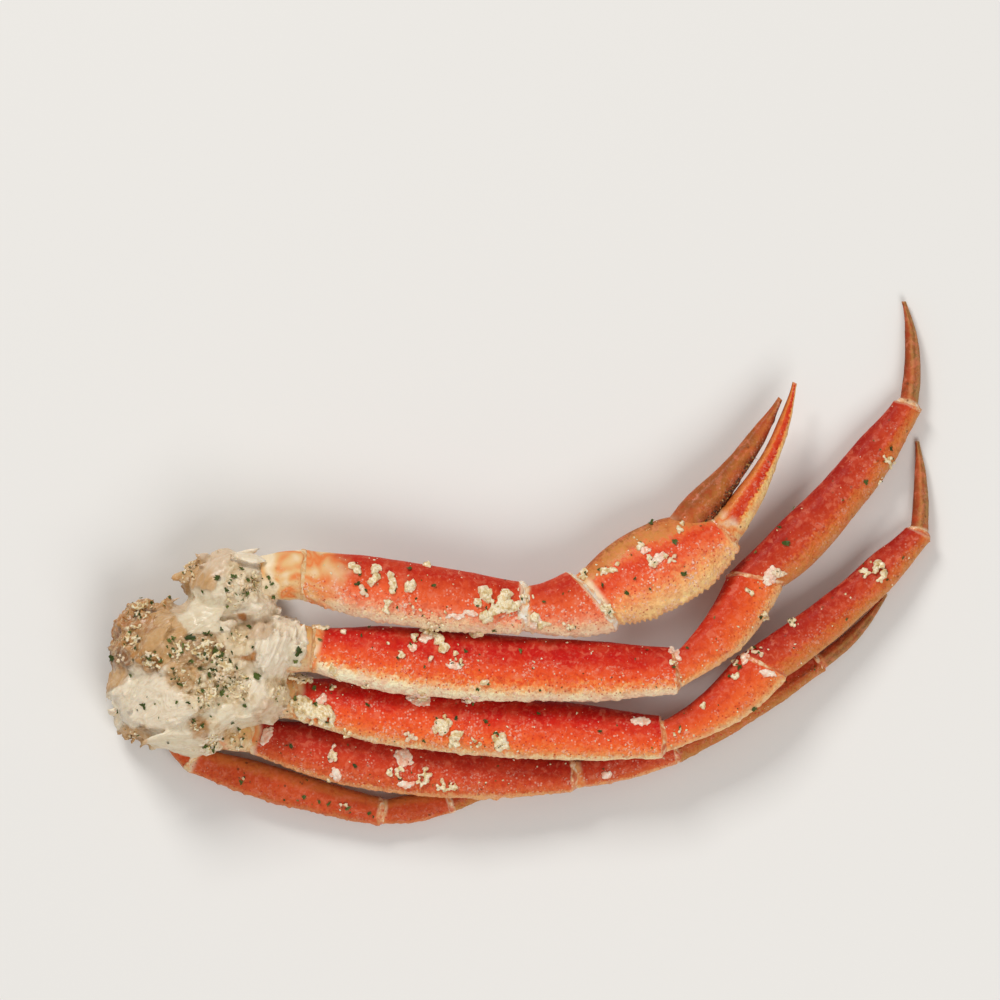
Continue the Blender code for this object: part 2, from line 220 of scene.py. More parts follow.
def add_piece(name, points, faces, material, fields=None, node=None):
    """An object from points in millimetres, with its fields stored for its material."""
    mesh = bpy.data.meshes.new(name)
    mesh.from_pydata(np.clip(np.asarray(points) * MM, *bare_size).tolist(), [], faces)
    for key, values in (fields or {}).items():
        store(mesh, key, values)
    mesh.materials.append(material)
    mesh.shade_smooth()
    thing = bpy.data.objects.new(name, mesh)
    bpy.context.scene.collection.objects.link(thing)
    if node:
        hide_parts(node)
    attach(thing, "root")
    return thing


def tube_faces(rings, sides):
    """Faces of a tube closed at both ends, and which of its points they use.

    The first and last rings have shrunk to a point each, so one point of them is kept.
    """
    number = np.arange(rings * sides).reshape(rings, sides) - sides + 1
    number[0], number[-1] = 0, number[-1, 0]
    after = np.roll(number, -1, axis=1)
    faces = np.stack((number[:-1], number[1:], after[1:], after[:-1]), -1)
    start, middle, end = faces[0][:, :3], faces[1:-1].reshape(-1, 4), faces[-1][:, [0, 1, 3]]
    return start.tolist() + middle.tolist() + end.tolist(), slice(sides - 1, rings * sides - sides + 1)


def loft(shell, granules, teeth=None, ridge=None):
    """Points, faces and fields of one segment's skin, with rounded closed ends.

    granules is the height of the grains along the lower edge, teeth the height and
    spacing of its saw teeth, and ridge where a soft ridge runs across the section.
    """
    clear = shell.length - 2.0 * END_GAP
    body = np.linspace(END_REACH, clear - END_REACH, max(6, int(shell.length / SKIN_PITCH)))
    reach = np.concatenate((END_RINGS[:, 0], body, clear - END_RINGS[::-1, 0]))
    scale = np.concatenate((END_RINGS[:, 1], np.ones(len(body)), END_RINGS[::-1, 1]))
    along = ((reach + END_GAP) / shell.length)[:, None]
    girth = math.pi * shell.half_width(0.4) * (1.0 + shell.depth)
    sides = max(20, 2 * int(girth / SKIN_PITCH / 2.3))
    angle = (math.tau * np.arange(sides) / sides)[None, :]
    points = shell.skin(along, angle, scale[:, None])
    outward = shell.outward(along, angle)
    centre, side, _ = shell.frame(along)
    sidelong = ((points - centre) * (side * (1.0, 1.0, 0.0))).sum(axis=-1)
    # 0 along the upper edge of the lying leg and 1 along its lower edge.
    belly = 0.5 + 0.5 * sidelong / np.maximum(np.abs(sidelong).max(axis=1, keepdims=True), 1e-6)
    low = step(0.72, 0.92, belly)
    relief = 0.20 * rough(points, 9.0, 1) + 0.07 * rough(points, 2.4, 2) - 0.20
    grains = 1.1 * np.maximum(rough(points, 1.0, 3), 0.0) + 0.4 * rough(points, 2.1, 4)
    relief += granules * low * grains
    relief += 2.6 * granules * step(0.90, 1.0, belly) * np.maximum(rough(points, 2.0, 9) - 0.3, 0.0)
    relief += 0.5 * granules * step(0.45, 0.75, belly) * np.maximum(rough(points, 0.8, 5) - 0.35, 0.0)
    if teeth:
        height, spacing = teeth
        phase = reach[:, None] / spacing + 0.35 * rough(points * (1.0, 1.0, 0.0), 5.0, 6)
        tooth = 1.0 - np.abs((phase % 1.0) * 2.0 - 1.0)
        relief += height * step(0.93, 1.0, belly) * tooth * (0.75 + 0.5 * rough(points, 4.0, 7))
    if ridge is not None:
        relief += 0.55 * np.exp(-((belly - ridge) / 0.07) ** 2) * (np.sin(angle) > 0.0)
    ends = np.minimum(reach, reach[::-1])[:, None]
    points = points + outward * (relief * step(-0.2, 1.4, ends) * (scale[:, None] > 0.9))[..., None]
    ragged = 0.45 * rough(points, 2.6, 8) * step(4.0, 0.4, ends)
    points = points + shell.axis * ragged[..., None]
    faces, kept = tube_faces(len(reach), sides)
    full = np.ones_like(belly)
    fields = {"belly": belly, "over": np.sin(angle) * full, "root": reach[:, None] * full,
              "tip": reach[::-1, None] * full}
    fields = {key: values.ravel()[kept] for key, values in fields.items()}
    return points.reshape(-1, 3)[kept], faces, fields


def add_shell(shell, paint, slot, *form, node=None):
    """The skin of one segment, in place of the solid that has its name."""
    points, faces, fields = loft(shell, *form)
    add_piece(f"{shell.name}_shell", points, faces, paint, fields, node or shell.name)


def add_node(tree, kind, inputs=None, **settings):
    """A new node; its inputs are joined to sockets or given plain values."""
    node = tree.nodes.new(kind)
    for key, value in settings.items():
        setattr(node, key, value)
    for key, value in (inputs or {}).items():
        if isinstance(value, bpy.types.NodeSocket):
            tree.links.new(value, node.inputs[key])
        else:
            node.inputs[key].default_value = value
    return node


class Paint:
    """A material with short calls for its nodes; places and sizes are millimetres."""

    def __init__(self, name):
        self.material = bpy.data.materials.new(name)
        self.material.use_nodes = True
        self.tree = self.material.node_tree
        self.shader = self.tree.nodes["Principled BSDF"]
        place = self.add("ShaderNodeTexCoord").outputs["Object"]
        scaled = self.add("ShaderNodeVectorMath", {0: place, "Scale": 1.0 / MM}, operation="SCALE")
        self.place = scaled.outputs[0]

    def add(self, kind, inputs=None, **settings):
        return add_node(self.tree, kind, inputs, **settings)

    def field(self, name, output="Fac"):
        return self.add("ShaderNodeAttribute", attribute_name=name).outputs[output]

    def math(self, operation, first, second=0.0, third=0.0):
        inputs = {0: first, 1: second, 2: third}
        return self.add("ShaderNodeMath", inputs, operation=operation).outputs[0]

    def times(self, first, second):
        return self.math("MULTIPLY", first, second)

    def plus(self, base, first, second):
        """The base and the product of the other two."""
        return self.math("MULTIPLY_ADD", first, second, base)

    def centred(self, value):
        """A value from 0 to 1 moved to lie round 0."""
        return self.math("SUBTRACT", value, 0.5)

    def step(self, value, low, high, start=0.0, end=1.0):
        inputs = {"Value": value, "From Min": low, "From Max": high, "To Min": start, "To Max": end}
        return self.add("ShaderNodeMapRange", inputs, interpolation_type="SMOOTHSTEP").outputs["Result"]

    def noise(self, size, detail=3.0, distortion=0.0, place=None):
        inputs = {"Vector": place or self.place, "Scale": 1.0 / size, "Detail": detail,
                  "Distortion": distortion}
        return self.add("ShaderNodeTexNoise", inputs).outputs["Fac"]

    def cells(self, size):
        """Distance to the middle of the nearest grain, and that grain's own number."""
        node = self.add("ShaderNodeTexVoronoi", {"Vector": self.place, "Scale": 1.0 / size})
        parts = self.add("ShaderNodeSeparateColor", {0: node.outputs["Color"]})
        return node.outputs["Distance"], parts.outputs[0]

    def dots(self, size, rim, core, bare):
        """A dot, soft from its rim to its core, on every grain but for a bare share of them."""
        middle, chance = self.cells(size)
        return self.times(self.step(middle, rim, core), self.step(chance, bare, bare + 0.1))

    def mix(self, share, first, second):
        if not isinstance(second, bpy.types.NodeSocket):
            second = (*second, 1.0)
        return self.add("ShaderNodeMix", {0: share, 6: first, 7: second}, data_type="RGBA").outputs[2]

    def ramp(self, value, stops):
        node = self.add("ShaderNodeValToRGB", {0: value})
        points = node.color_ramp.elements
        while len(points) < len(stops):
            points.new(0.5)
        for point, (place, colour) in zip(points, stops):
            point.position = place
            point.color = (*colour, 1.0)
        return node.outputs["Color"]

    def finish(self, colour, height, depth, **values):
        """Join colour and bump to the shader, and set its plain values."""
        self.tree.links.new(colour, self.shader.inputs["Base Color"])
        bump = self.add("ShaderNodeBump", {"Height": height, "Distance": depth * MM, "Strength": 1.0})
        self.tree.links.new(bump.outputs[0], self.shader.inputs["Normal"])
        for key, value in values.items():
            self.shader.inputs[key.replace("_", " ")].default_value = value
        return self.material


RIM_STOPS = ((0.40, (0.84, 0.68, 0.46)), (0.50, (0.76, 0.46, 0.20)), (0.57, (0.78, 0.21, 0.055)),
             (0.63, (0.78, 0.40, 0.16)), (0.70, (0.86, 0.70, 0.48)))


def shell_paint(name, stops, wander=0.20, pins=0.8, pale=0.7, root=(1.6, 0.7), tip=(1.2, 0.7),
                specks=0.15, coat=0.05, early=0.0):
    """Boiled crab shell: colours across the section, then pin-points and pale grains.

    wander is how far the colours stray; pins, pale and specks are the strengths of the red
    pin-points, the pale grains with their painted glints, and the dark motes; root and tip
    are the width and strength of the pale rims; early is how much sooner the lower colours
    begin near the root.
    """
    paint = Paint(name)
    belly = paint.field("belly")
    band = paint.step(belly, 0.40, 0.80)
    steady = paint.step(belly, 0.60, 0.90, 1.0, 0.22)
    slow = paint.noise(8.0, 3.0)
    fine = paint.noise(1.1, 3.0)
    grain, chance = paint.cells(0.80)
    # Short hairlines run round the leg where one colour gives way to the next.
    comb = paint.add("ShaderNodeCombineXYZ", {0: paint.field("root"), 1: paint.times(belly, 5.0)})
    comb = paint.noise(0.55, 2.0, 0.0, comb.outputs[0])
    waver = paint.times(paint.centred(slow), wander * 1.5)
    waver = paint.plus(waver, paint.centred(fine), 0.22)
    across = paint.plus(belly, waver, steady)
    jitter = paint.times(paint.centred(chance), band)
    across = paint.plus(across, jitter, paint.times(steady, 0.20))
    across = paint.plus(across, paint.centred(comb), 0.12)
    across = paint.math("ADD", across, paint.step(paint.field("root"), 45.0, 5.0, 0.0, early))
    colour = paint.ramp(across, stops)
    bloom = paint.step(paint.noise(1.0, 4.0, 0.8), 0.50, 0.72)
    colour = paint.mix(paint.times(bloom, 0.12), colour, (0.84, 0.36, 0.24))
    # Cloudy darker and lighter fields, some millimetres wide.
    cloud = paint.step(paint.noise(5.0, 4.0, 0.6), 0.42, 0.66)
    colour = paint.mix(paint.times(cloud, 0.26), colour, (0.74, 0.10, 0.035))
    mottle = paint.noise(1.9, 4.0, 0.5)
    colour = paint.mix(paint.step(mottle, 0.52, 0.68, 0.0, 0.34), colour, (0.80, 0.23, 0.13))
    colour = paint.mix(paint.step(mottle, 0.46, 0.32, 0.0, 0.30), colour, (0.40, 0.014, 0.008))
    # The root and tip end in a pale rim, on the arm's first segments in swirls.
    rim_colour = paint.ramp(paint.noise(9.0, 2.0, 0.5), RIM_STOPS)
    for end, (reach, share) in (("root", root), ("tip", tip)):
        wavy = paint.plus(paint.field(end), paint.centred(slow), reach * 1.1)
        rim = paint.step(wavy, reach, reach * 0.35)
        colour = paint.mix(paint.times(rim, share), colour, rim_colour)
    # Red pin-points on the orange part, and small pale grains and flecks over the lower half;
    # the flecks are partly painted glints of the wet shell.
    zone = paint.times(paint.step(across, 0.40, 0.60), paint.step(across, 0.99, 0.90))
    pin = paint.times(paint.dots(1.15, 0.30, 0.14, 0.35), zone)
    colour = paint.mix(paint.times(pin, pins), colour, (0.50, 0.035, 0.02))
    patchy = paint.step(paint.noise(4.5, 3.0), 0.47, 0.60)
    lower = paint.times(patchy, paint.step(across, 0.15, 0.55))
    beads = paint.times(paint.dots(0.85, 0.50, 0.10, 0.45), lower)
    fleck_and_glint = paint.step(paint.noise(0.9, 4.0, 0.8), 0.52, 0.66)
    fleck_and_glint = paint.times(fleck_and_glint, paint.step(paint.noise(6.0, 3.0), 0.47, 0.60))
    fleck_and_glint = paint.times(fleck_and_glint, paint.step(across, 0.30, 0.62, 0.0, 0.85))
    beads = paint.math("MAXIMUM", beads, fleck_and_glint)
    colour = paint.mix(paint.times(beads, pale), colour, (0.92, 0.60, 0.47))
    motes = paint.dots(2.6, 0.20, 0.10, 0.70)
    colour = paint.mix(paint.times(motes, specks), colour, (0.16, 0.05, 0.02))
    # The hidden face is paler, as the shell is on its inner side.
    under = paint.step(paint.field("over"), 0.05, -0.55)
    colour = paint.mix(paint.times(under, 0.35), colour, (0.86, 0.42, 0.20))
    height = paint.plus(paint.times(fine, 0.9), beads, 0.35)
    height = paint.plus(height, paint.times(paint.step(grain, 0.7, 0.0), band), 0.7)
    height = paint.plus(height, paint.noise(0.45, 2.0), 0.25)
    return paint.finish(colour, height, 0.26, Roughness=0.46, Coat_Weight=coat, Coat_Roughness=0.10,
                        Specular_IOR_Level=0.06)


# Name, length, heading, fall, widths, depth to width, roll, bow and slant of the far end.
ARM = chain("claw", (-72.2, -3.8, 22.4), (
    ("ischium", 12.0, 3.4, 0.3, (12.0, 13.8, 14.2), 0.80, 8.0, 0.0),
    ("merus", 62.2, -8.6, 1.6, (14.6, 17.6, 18.0, 17.4, 15.0), 0.66, 16.0, 0.9),
    ("carpus", 19.9, 5.4, 2.9, (12.6, 16.4, 18.4), 0.74, 8.0, 0.8, 36.0),
    ("hand", 41.4, 28.1, 4.2, (17.6, 23.4, 25.2, 22.6, 12.8), 0.55, 14.0, 0.0),
    ("finger", 46.5, 64.5, 3.5, (9.8, 8.4, 5.4, 3.6, 1.5), 0.78, 0.0, 2.8),
))
arm_stops = ((0.0, (0.54, 0.045, 0.015)), (0.12, (0.50, 0.020, 0.008)), (0.33, (0.66, 0.070, 0.020)),
             (0.54, (0.82, 0.12, 0.034)), (0.68, (0.86, 0.18, 0.075)), (0.79, (0.90, 0.34, 0.18)),
             (0.87, (0.94, 0.62, 0.35)), (0.97, (0.97, 0.85, 0.56)))
arm_paint = shell_paint("arm_shell", arm_stops, root=(15.0, 0.95), pale=0.85)
ischium_paint = shell_paint("arm_root_shell", arm_stops, root=(40.0, 1.0), pale=0.3, pins=0.2)
carpus_paint = shell_paint("arm_carpus_shell", arm_stops, root=(2.5, 0.9), pale=0.8)
add_shell(ARM["ischium"], ischium_paint, "red_shell", 0.12)
add_shell(ARM["merus"], arm_paint, "red_shell", 0.32, (0.35, 2.1))
add_shell(ARM["carpus"], carpus_paint, "red_shell", 0.34, (0.45, 1.9))

# --- Claw -----------------------------------------------------------------------------
# The hand with its fixed finger, and the moving finger that hinges beside it, all of
# thick shell. Smooth cream along the upper edge, red in the middle, and grained lower
# down with a saw-toothed edge; the fingers are browner and thin.
hand_stops = ((0.0, (0.36, 0.11, 0.025)), (0.07, (0.56, 0.22, 0.055)), (0.19, (0.66, 0.25, 0.065)),
              (0.25, (0.80, 0.15, 0.040)), (0.36, (0.72, 0.055, 0.016)), (0.52, (0.84, 0.12, 0.036)),
              (0.66, (0.90, 0.26, 0.090)), (0.78, (0.93, 0.44, 0.15)), (0.93, (0.96, 0.66, 0.28)))
hand_paint = shell_paint("claw_shell", hand_stops, wander=0.14, root=(3.0, 0.9), pale=1.0)
finger_stops = ((0.0, (0.24, 0.05, 0.012)), (0.18, (0.46, 0.12, 0.025)), (0.36, (0.72, 0.22, 0.040)),
                (0.48, (0.64, 0.055, 0.010)), (0.76, (0.52, 0.020, 0.008)), (0.83, (0.80, 0.20, 0.035)),
                (0.90, (0.86, 0.50, 0.15)), (1.0, (0.90, 0.66, 0.28)))
finger_paint = shell_paint("finger_shell", finger_stops, wander=0.10, pins=0.3, pale=0.3, specks=0.8,
                           root=(5.0, 0.8), tip=(0.8, 0.2), early=0.16)
fixed_stops = ((0.0, (0.34, 0.095, 0.022)), (0.30, (0.30, 0.080, 0.020)), (0.55, (0.42, 0.14, 0.030)),
               (0.80, (0.28, 0.065, 0.016)), (1.0, (0.13, 0.03, 0.008)))
fixed_paint = shell_paint("fixed_finger_shell", fixed_stops, wander=0.22, pins=0.2, pale=0.2,
                          specks=0.6, root=(9.0, 0.3), tip=(0.8, 0.2))
# The fixed finger springs from the palm this far along it and across it.
root_along, root_across = 0.62, -0.44
palm_centre, palm_side, _ = ARM["hand"].frame(root_along)
fixed_root = palm_centre + palm_side * root_across * ARM["hand"].half_width(root_along)
FIXED = Shell("claw_fixed_finger", fixed_root, 51.8, 51.1, 3.8, (8.0, 10.4, 7.6, 5.4, 1.6),
              0.80, 0.0, 2.3)
add_shell(ARM["hand"], hand_paint, "red_shell", 0.36, (0.95, 1.65))
add_shell(FIXED, fixed_paint, "red_shell", 0.1, node="claw_hand")
add_shell(ARM["finger"], finger_paint, "red_shell", 0.12)

# --- Claw bristles --------------------------------------------------------------------
# Brown horny teeth and golden bristles that grow in a row from the shell, along the inner
# side of the fixed finger. Each is a thin spike of three sides.
TEETH, BRISTLES = 90, 120
ROW_START, ROW_END = 0.04, 0.66    # shares of the finger's length
ROW_ANGLE, ROW_SPREAD = 42.0, 7.0  # degrees up from the finger's right-hand edge
ROOT_DEPTH = 0.4                   # how deep a spike starts in the shell
BRISTLE_THICK = 0.10
bristles = np.random.default_rng(31)
bristle_points, bristle_faces = [], []
for number in range(TEETH + BRISTLES):
    tooth = number < TEETH
    along = bristles.uniform(ROW_START, ROW_END)
    angle = math.radians(bristles.normal(ROW_ANGLE, ROW_SPREAD))
    base, out = FIXED.skin(along, angle), FIXED.outward(along, angle)
    lean = unit(out + 0.7 * bristles.normal(size=3))
    length = bristles.uniform(0.3, 0.7) if tooth else bristles.uniform(0.7, 1.6)
    thick = bristles.uniform(0.35, 0.6) if tooth else BRISTLE_THICK
    across = unit(np.cross(lean, FIXED.axis + out)) * thick
    over = np.cross(lean, across)
    first = len(bristle_points)
    for turn in (0.0, 120.0, 240.0):
        swing = math.radians(turn)
        ring = across * math.cos(swing) + over * math.sin(swing)
        bristle_points.append(base - out * ROOT_DEPTH + ring)
    bristle_points.append(base + lean * length)
    for corners in ((0, 1, 3), (1, 2, 3), (2, 0, 3), (2, 1, 0)):
        bristle_faces.append([first + corner for corner in corners])
bristle_paint = Paint("claw_bristles")
bristle_colour = bristle_paint.ramp(bristle_paint.noise(1.0, 2.0), (
    (0.44, (0.07, 0.018, 0.007)), (0.55, (0.22, 0.075, 0.020)), (0.66, (0.60, 0.34, 0.10))))
bristle_material = bristle_paint.finish(bristle_colour, bristle_paint.noise(0.5), 0.05, Roughness=0.4)
add_piece("claw_bristles", bristle_points, bristle_faces, bristle_material)

# --- Leg 1 ----------------------------------------------------------------------------
# The uppermost walking leg, five tubes of boiled shell from a tan root in the shoulder: a
# long merus, deep red above and orange to cream below, a knee, a two-toned propodus with
# a soft ridge, and a thin striped dactylus.
LEG1 = chain("leg1", (-70.0, -22.6, 20.3), (
    ("coxa", 12.4, -7.0, 0.3, (12.5, 14.5, 12.8), 0.80, 16.0, 0.0),
    ("merus", 102.2, -3.3, 1.9, (13.2, 19.0, 19.8, 18.8, 17.4, 13.6), 0.58, 20.0, 1.9, 11.0),
    ("carpus", 33.6, 48.7, 8.6, (8.4, 12.0, 14.4, 14.6), 0.64, 6.0, 2.8, 33.0),
    ("propodus", 65.3, 49.0, 5.5, (14.4, 15.0, 13.4, 12.0, 8.0), 0.66, 5.0, 2.5),
    ("dactylus", 29.2, 92.7, 2.2, (5.4, 5.0, 3.8, 1.4), 0.80, 0.0, 1.8),
))
coxa_stops = ((0.0, (0.60, 0.32, 0.10)), (0.30, (0.66, 0.40, 0.14)), (0.60, (0.72, 0.46, 0.19)),
              (0.90, (0.80, 0.60, 0.34)))
coxa_paint = shell_paint("leg_root_shell", coxa_stops, root=(3.0, 0.5), tip=(1.0, 0.2), pins=0.1,
                         pale=0.3)
merus_stops = ((0.0, (0.36, 0.006, 0.004)), (0.14, (0.46, 0.010, 0.006)), (0.27, (0.54, 0.008, 0.006)),
               (0.40, (0.62, 0.022, 0.008)), (0.52, (0.76, 0.070, 0.018)), (0.65, (0.82, 0.095, 0.018)),
               (0.76, (0.90, 0.23, 0.055)), (0.84, (0.92, 0.50, 0.21)), (0.90, (0.96, 0.80, 0.48)),
               (1.0, (0.98, 0.92, 0.64)))
merus_paint = shell_paint("leg_merus_shell", merus_stops, root=(3.0, 0.9), tip=(0.6, 0.6), early=0.11)
knee_stops = ((0.0, (0.50, 0.020, 0.008)), (0.35, (0.66, 0.060, 0.014)), (0.62, (0.80, 0.12, 0.026)),
              (0.82, (0.86, 0.20, 0.045)), (0.91, (0.90, 0.42, 0.15)), (0.98, (0.92, 0.62, 0.30)))
knee_paint = shell_paint("leg_knee_shell", knee_stops, root=(1.2, 0.5), tip=(0.5, 0.4), pale=0.5,
                         coat=0.02)
shin_stops = ((0.0, (0.32, 0.010, 0.006)), (0.30, (0.42, 0.024, 0.010)), (0.58, (0.52, 0.052, 0.014)),
              (0.68, (0.66, 0.12, 0.025)), (0.82, (0.64, 0.18, 0.040)), (0.92, (0.64, 0.24, 0.065)),
              (1.0, (0.62, 0.30, 0.11)))
shin_paint = shell_paint("leg_shin_shell", shin_stops, wander=0.10, root=(0.8, 0.5), tip=(0.8, 0.3),
                         pins=0.4, pale=0.3, specks=0.6, coat=0.02)
claw_stops = ((0.0, (0.20, 0.045, 0.015)), (0.30, (0.34, 0.07, 0.02)), (0.50, (0.46, 0.20, 0.06)),
              (0.68, (0.24, 0.10, 0.03)), (0.90, (0.40, 0.22, 0.08)))
claw_paint = shell_paint("leg_tip_shell", claw_stops, wander=0.20, root=(1.5, 0.6), tip=(0.8, 0.2),
                         pins=0.2, pale=0.1, specks=0.8)
# Height of the grains, saw teeth (none) and where a soft ridge runs.
LEG_FORMS = {"coxa": (0.10,), "merus": (0.30,), "carpus": (0.22,), "propodus": (0.10, None, 0.62),
             "dactylus": (0.03, None, 0.50)}


def add_leg(leg, slot, *paints):
    """The pieces of a leg, with the finish of each from its root to its dark tip."""
    for (name, shell), paint in zip(leg.items(), paints, strict=True):
        add_shell(shell, paint, "dark_shell" if name == "dactylus" else slot, *LEG_FORMS[name])


add_leg(LEG1, "red_shell", coxa_paint, merus_paint, knee_paint, shin_paint, claw_paint)

# --- Leg 2 ----------------------------------------------------------------------------
# The second leg, of the same boiled shell and made of the same five tubes. It leaves the
# shoulder a little lower and lies nearly along the first, with an orange knee.
LEG2 = chain("leg2", (-76.0, -36.0, 15.3), (
    ("coxa", 13.4, -6.9, 0.3, (11.5, 13.2, 12.0), 0.80, 18.0, 0.0),
    ("merus", 103.9, -6.0, 0.6, (12.4, 18.0, 18.6, 18.0, 16.2, 12.2), 0.58, 21.0, 1.8, 10.0),
    ("carpus", 34.3, 35.2, 2.6, (8.0, 11.0, 13.8, 14.2), 0.68, 12.0, 2.3, 30.0),
    ("propodus", 57.4, 40.5, 8.0, (13.2, 12.4, 11.4, 10.8, 7.4), 0.68, 6.0, 1.8),
    ("dactylus", 25.8, 91.3, 2.8, (5.2, 4.8, 3.6, 1.4), 0.80, 0.0, 0.8),
))
second_stops = merus_stops[:6] + ((0.80, (0.88, 0.16, 0.030)), (0.90, (0.90, 0.32, 0.095)),
                                  (0.96, (0.95, 0.68, 0.34)), (1.0, (0.97, 0.84, 0.52)))
second_paint = shell_paint("second_merus_shell", second_stops, root=(3.0, 0.9), tip=(0.6, 0.6))
add_leg(LEG2, "red_shell", coxa_paint, second_paint, knee_paint, shin_paint, claw_paint)

# --- Leg 3 ----------------------------------------------------------------------------
# The third leg, set lower in the shoulder and under the second: smaller tubes of browner
# shell, with a thin cream edge and dark specks.
LEG3 = chain("leg3", (-84.0, -46.0, 11.4), (
    ("coxa", 9.4, -11.0, 0.2, (10.4, 11.4, 10.4), 0.80, 16.0, 0.0),
    ("merus", 91.0, -7.1, 2.2, (10.6, 16.4, 16.8, 14.6, 10.2), 0.56, 17.0, 3.2),
    ("carpus", 29.0, 14.8, 3.6, (7.8, 10.0, 9.2), 0.76, 8.0, 0.4),
    ("propodus", 47.6, 30.4, 2.2, (9.2, 9.0, 7.8, 6.0), 0.74, 4.0, 0.6),
    ("dactylus", 26.5, 46.1, 2.4, (4.8, 4.4, 3.2, 1.3), 0.80, 0.0, 1.4),
))
low_stops = ((0.0, (0.30, 0.006, 0.006)), (0.40, (0.48, 0.028, 0.012)), (0.70, (0.58, 0.060, 0.018)),
             (0.90, (0.66, 0.12, 0.03)), (0.97, (0.82, 0.40, 0.16)))
low_paint = shell_paint("low_leg_shell", low_stops, root=(3.0, 0.9), tip=(1.0, 0.6), specks=0.6,
                        pale=0.5)
dark_stops = ((0.0, (0.30, 0.03, 0.012)), (0.40, (0.40, 0.040, 0.014)), (0.66, (0.44, 0.095, 0.022)),
              (0.82, (0.48, 0.16, 0.034)), (0.95, (0.52, 0.22, 0.060)))
dark_paint = shell_paint("low_shin_shell", dark_stops, root=(1.0, 0.5), tip=(0.8, 0.3), specks=0.7,
                         pale=0.2)
add_leg(LEG3, "dark_shell", coxa_paint, low_paint, low_paint, dark_paint, claw_paint)

# --- Leg 4 ----------------------------------------------------------------------------
# The thin last leg, of the same shell, tan along its upper edge. It leaves the lowest
# corner of the shoulder, and its end lies hidden under the third and second legs.
LEG4 = chain("leg4", (-97.0, -47.0, 6.8), (
    ("coxa", 9.7, -51.9, 0.8, (7.0, 8.0, 7.6), 0.84, 6.0, 0.0),
    ("merus", 54.7, -15.7, 1.5, (8.0, 10.2, 9.6, 8.4), 0.74, 6.0, 0.8),
    ("carpus", 19.3, 8.0, 1.2, (7.2, 8.0, 6.4), 0.74, 0.0, 0.4),
    ("propodus", 38.0, 25.1, 0.6, (6.2, 6.2, 5.6, 4.6), 0.80, 0.0, 0.5),
    ("dactylus", 24.0, 12.0, 1.0, (4.0, 3.6, 2.8, 1.3), 0.84, 0.0, 0.8),
))
last_stops = ((0.0, (0.56, 0.17, 0.040)), (0.30, (0.60, 0.13, 0.030)), (0.45, (0.56, 0.070, 0.018)),
              (0.85, (0.58, 0.085, 0.020)), (0.97, (0.66, 0.20, 0.06)))
last_paint = shell_paint("last_leg_shell", last_stops, root=(2.0, 0.8), tip=(1.0, 0.5), specks=0.8,
                         pale=0.2)
add_leg(LEG4, "dark_shell", last_paint, last_paint, last_paint, dark_paint, claw_paint)

# --- Joints ---------------------------------------------------------------------------
# The soft skin that runs on inside the shell from each segment to the next: pinkish white,
# slightly swollen in the gap, and torn to shreds at both ends of the claw arm's carpus.
JOINT_RINGS, JOINT_SIDES = 21, 120
# Colours of each kind of skin, from its reddest patches to its palest.
JOINT_COLOURS = {
    "torn_joint": ((0.28, (0.70, 0.24, 0.09)), (0.40, (0.80, 0.50, 0.28)), (0.52, (0.80, 0.68, 0.52)),
                   (0.70, (0.86, 0.80, 0.72))),
    "root_joint": ((0.35, (0.66, 0.30, 0.11)), (0.50, (0.74, 0.46, 0.20)), (0.65, (0.78, 0.58, 0.34))),
    "leg_joint": ((0.38, (0.60, 0.12, 0.035)), (0.50, (0.72, 0.26, 0.09)), (0.60, (0.80, 0.50, 0.27)),
                  (0.72, (0.84, 0.68, 0.52))),
}
joint_finish = {}
for name, colours in JOINT_COLOURS.items():
    paint = Paint(name)
    joint_finish[name] = paint.finish(
        paint.ramp(paint.noise(1.8, 3.0, 0.5), colours), paint.noise(0.6, 3.0), 0.2,
        Roughness=0.35, Coat_Weight=0.3, Coat_Roughness=0.15,
        Subsurface_Weight=0.2, Subsurface_Scale=0.001, Subsurface_Radius=(1.0, 0.6, 0.4))


def joint_skin(inner, outer, reach, swell):
    """Points and faces of a closed sleeve through the gap between two segments."""
    station = np.linspace(-1.0, 1.0, JOINT_RINGS)[:, None]
    angle = (math.tau * np.arange(JOINT_SIDES) / JOINT_SIDES)[None, :]
    share = step(-1.0, 1.0, station)
    scale = 0.80 + (0.145 + swell) * (1.0 - station ** 4)
    scale = np.where(np.abs(station) == 1.0, 0.0, scale)
    points = (inner.skin(1.0, angle, scale) * (1.0 - share)[..., None]
              + outer.skin(0.0, angle, scale) * share[..., None])
    points = points + unit(inner.axis + outer.axis) * (reach * station)[..., None]
    shreds = (0.15 + 7.0 * swell) * rough(points, 2.2, 31) + 5.0 * swell * rough(points, 0.9, 32)
    points = points + inner.outward(1.0, angle) * (shreds * (scale > 0.0))[..., None]
    faces, kept = tube_faces(JOINT_RINGS, JOINT_SIDES)
    return points.reshape(-1, 3)[kept], faces


for limb in (ARM, LEG1, LEG2, LEG3, LEG4):
    shells = list(limb.values())
    for inner, outer in zip(shells, shells[1:]):
        torn = outer.name in ("claw_carpus", "claw_hand")
        reach, swell, finish = (2.0, 0.06, "torn_joint") if torn else (1.2, 0.025, "leg_joint")
        if inner is shells[0]:
            swell, finish = 0.04, "root_joint"
        points, faces = joint_skin(inner, outer, reach, swell)
        add_piece(f"{outer.name}_joint", points, faces, joint_finish[finish])

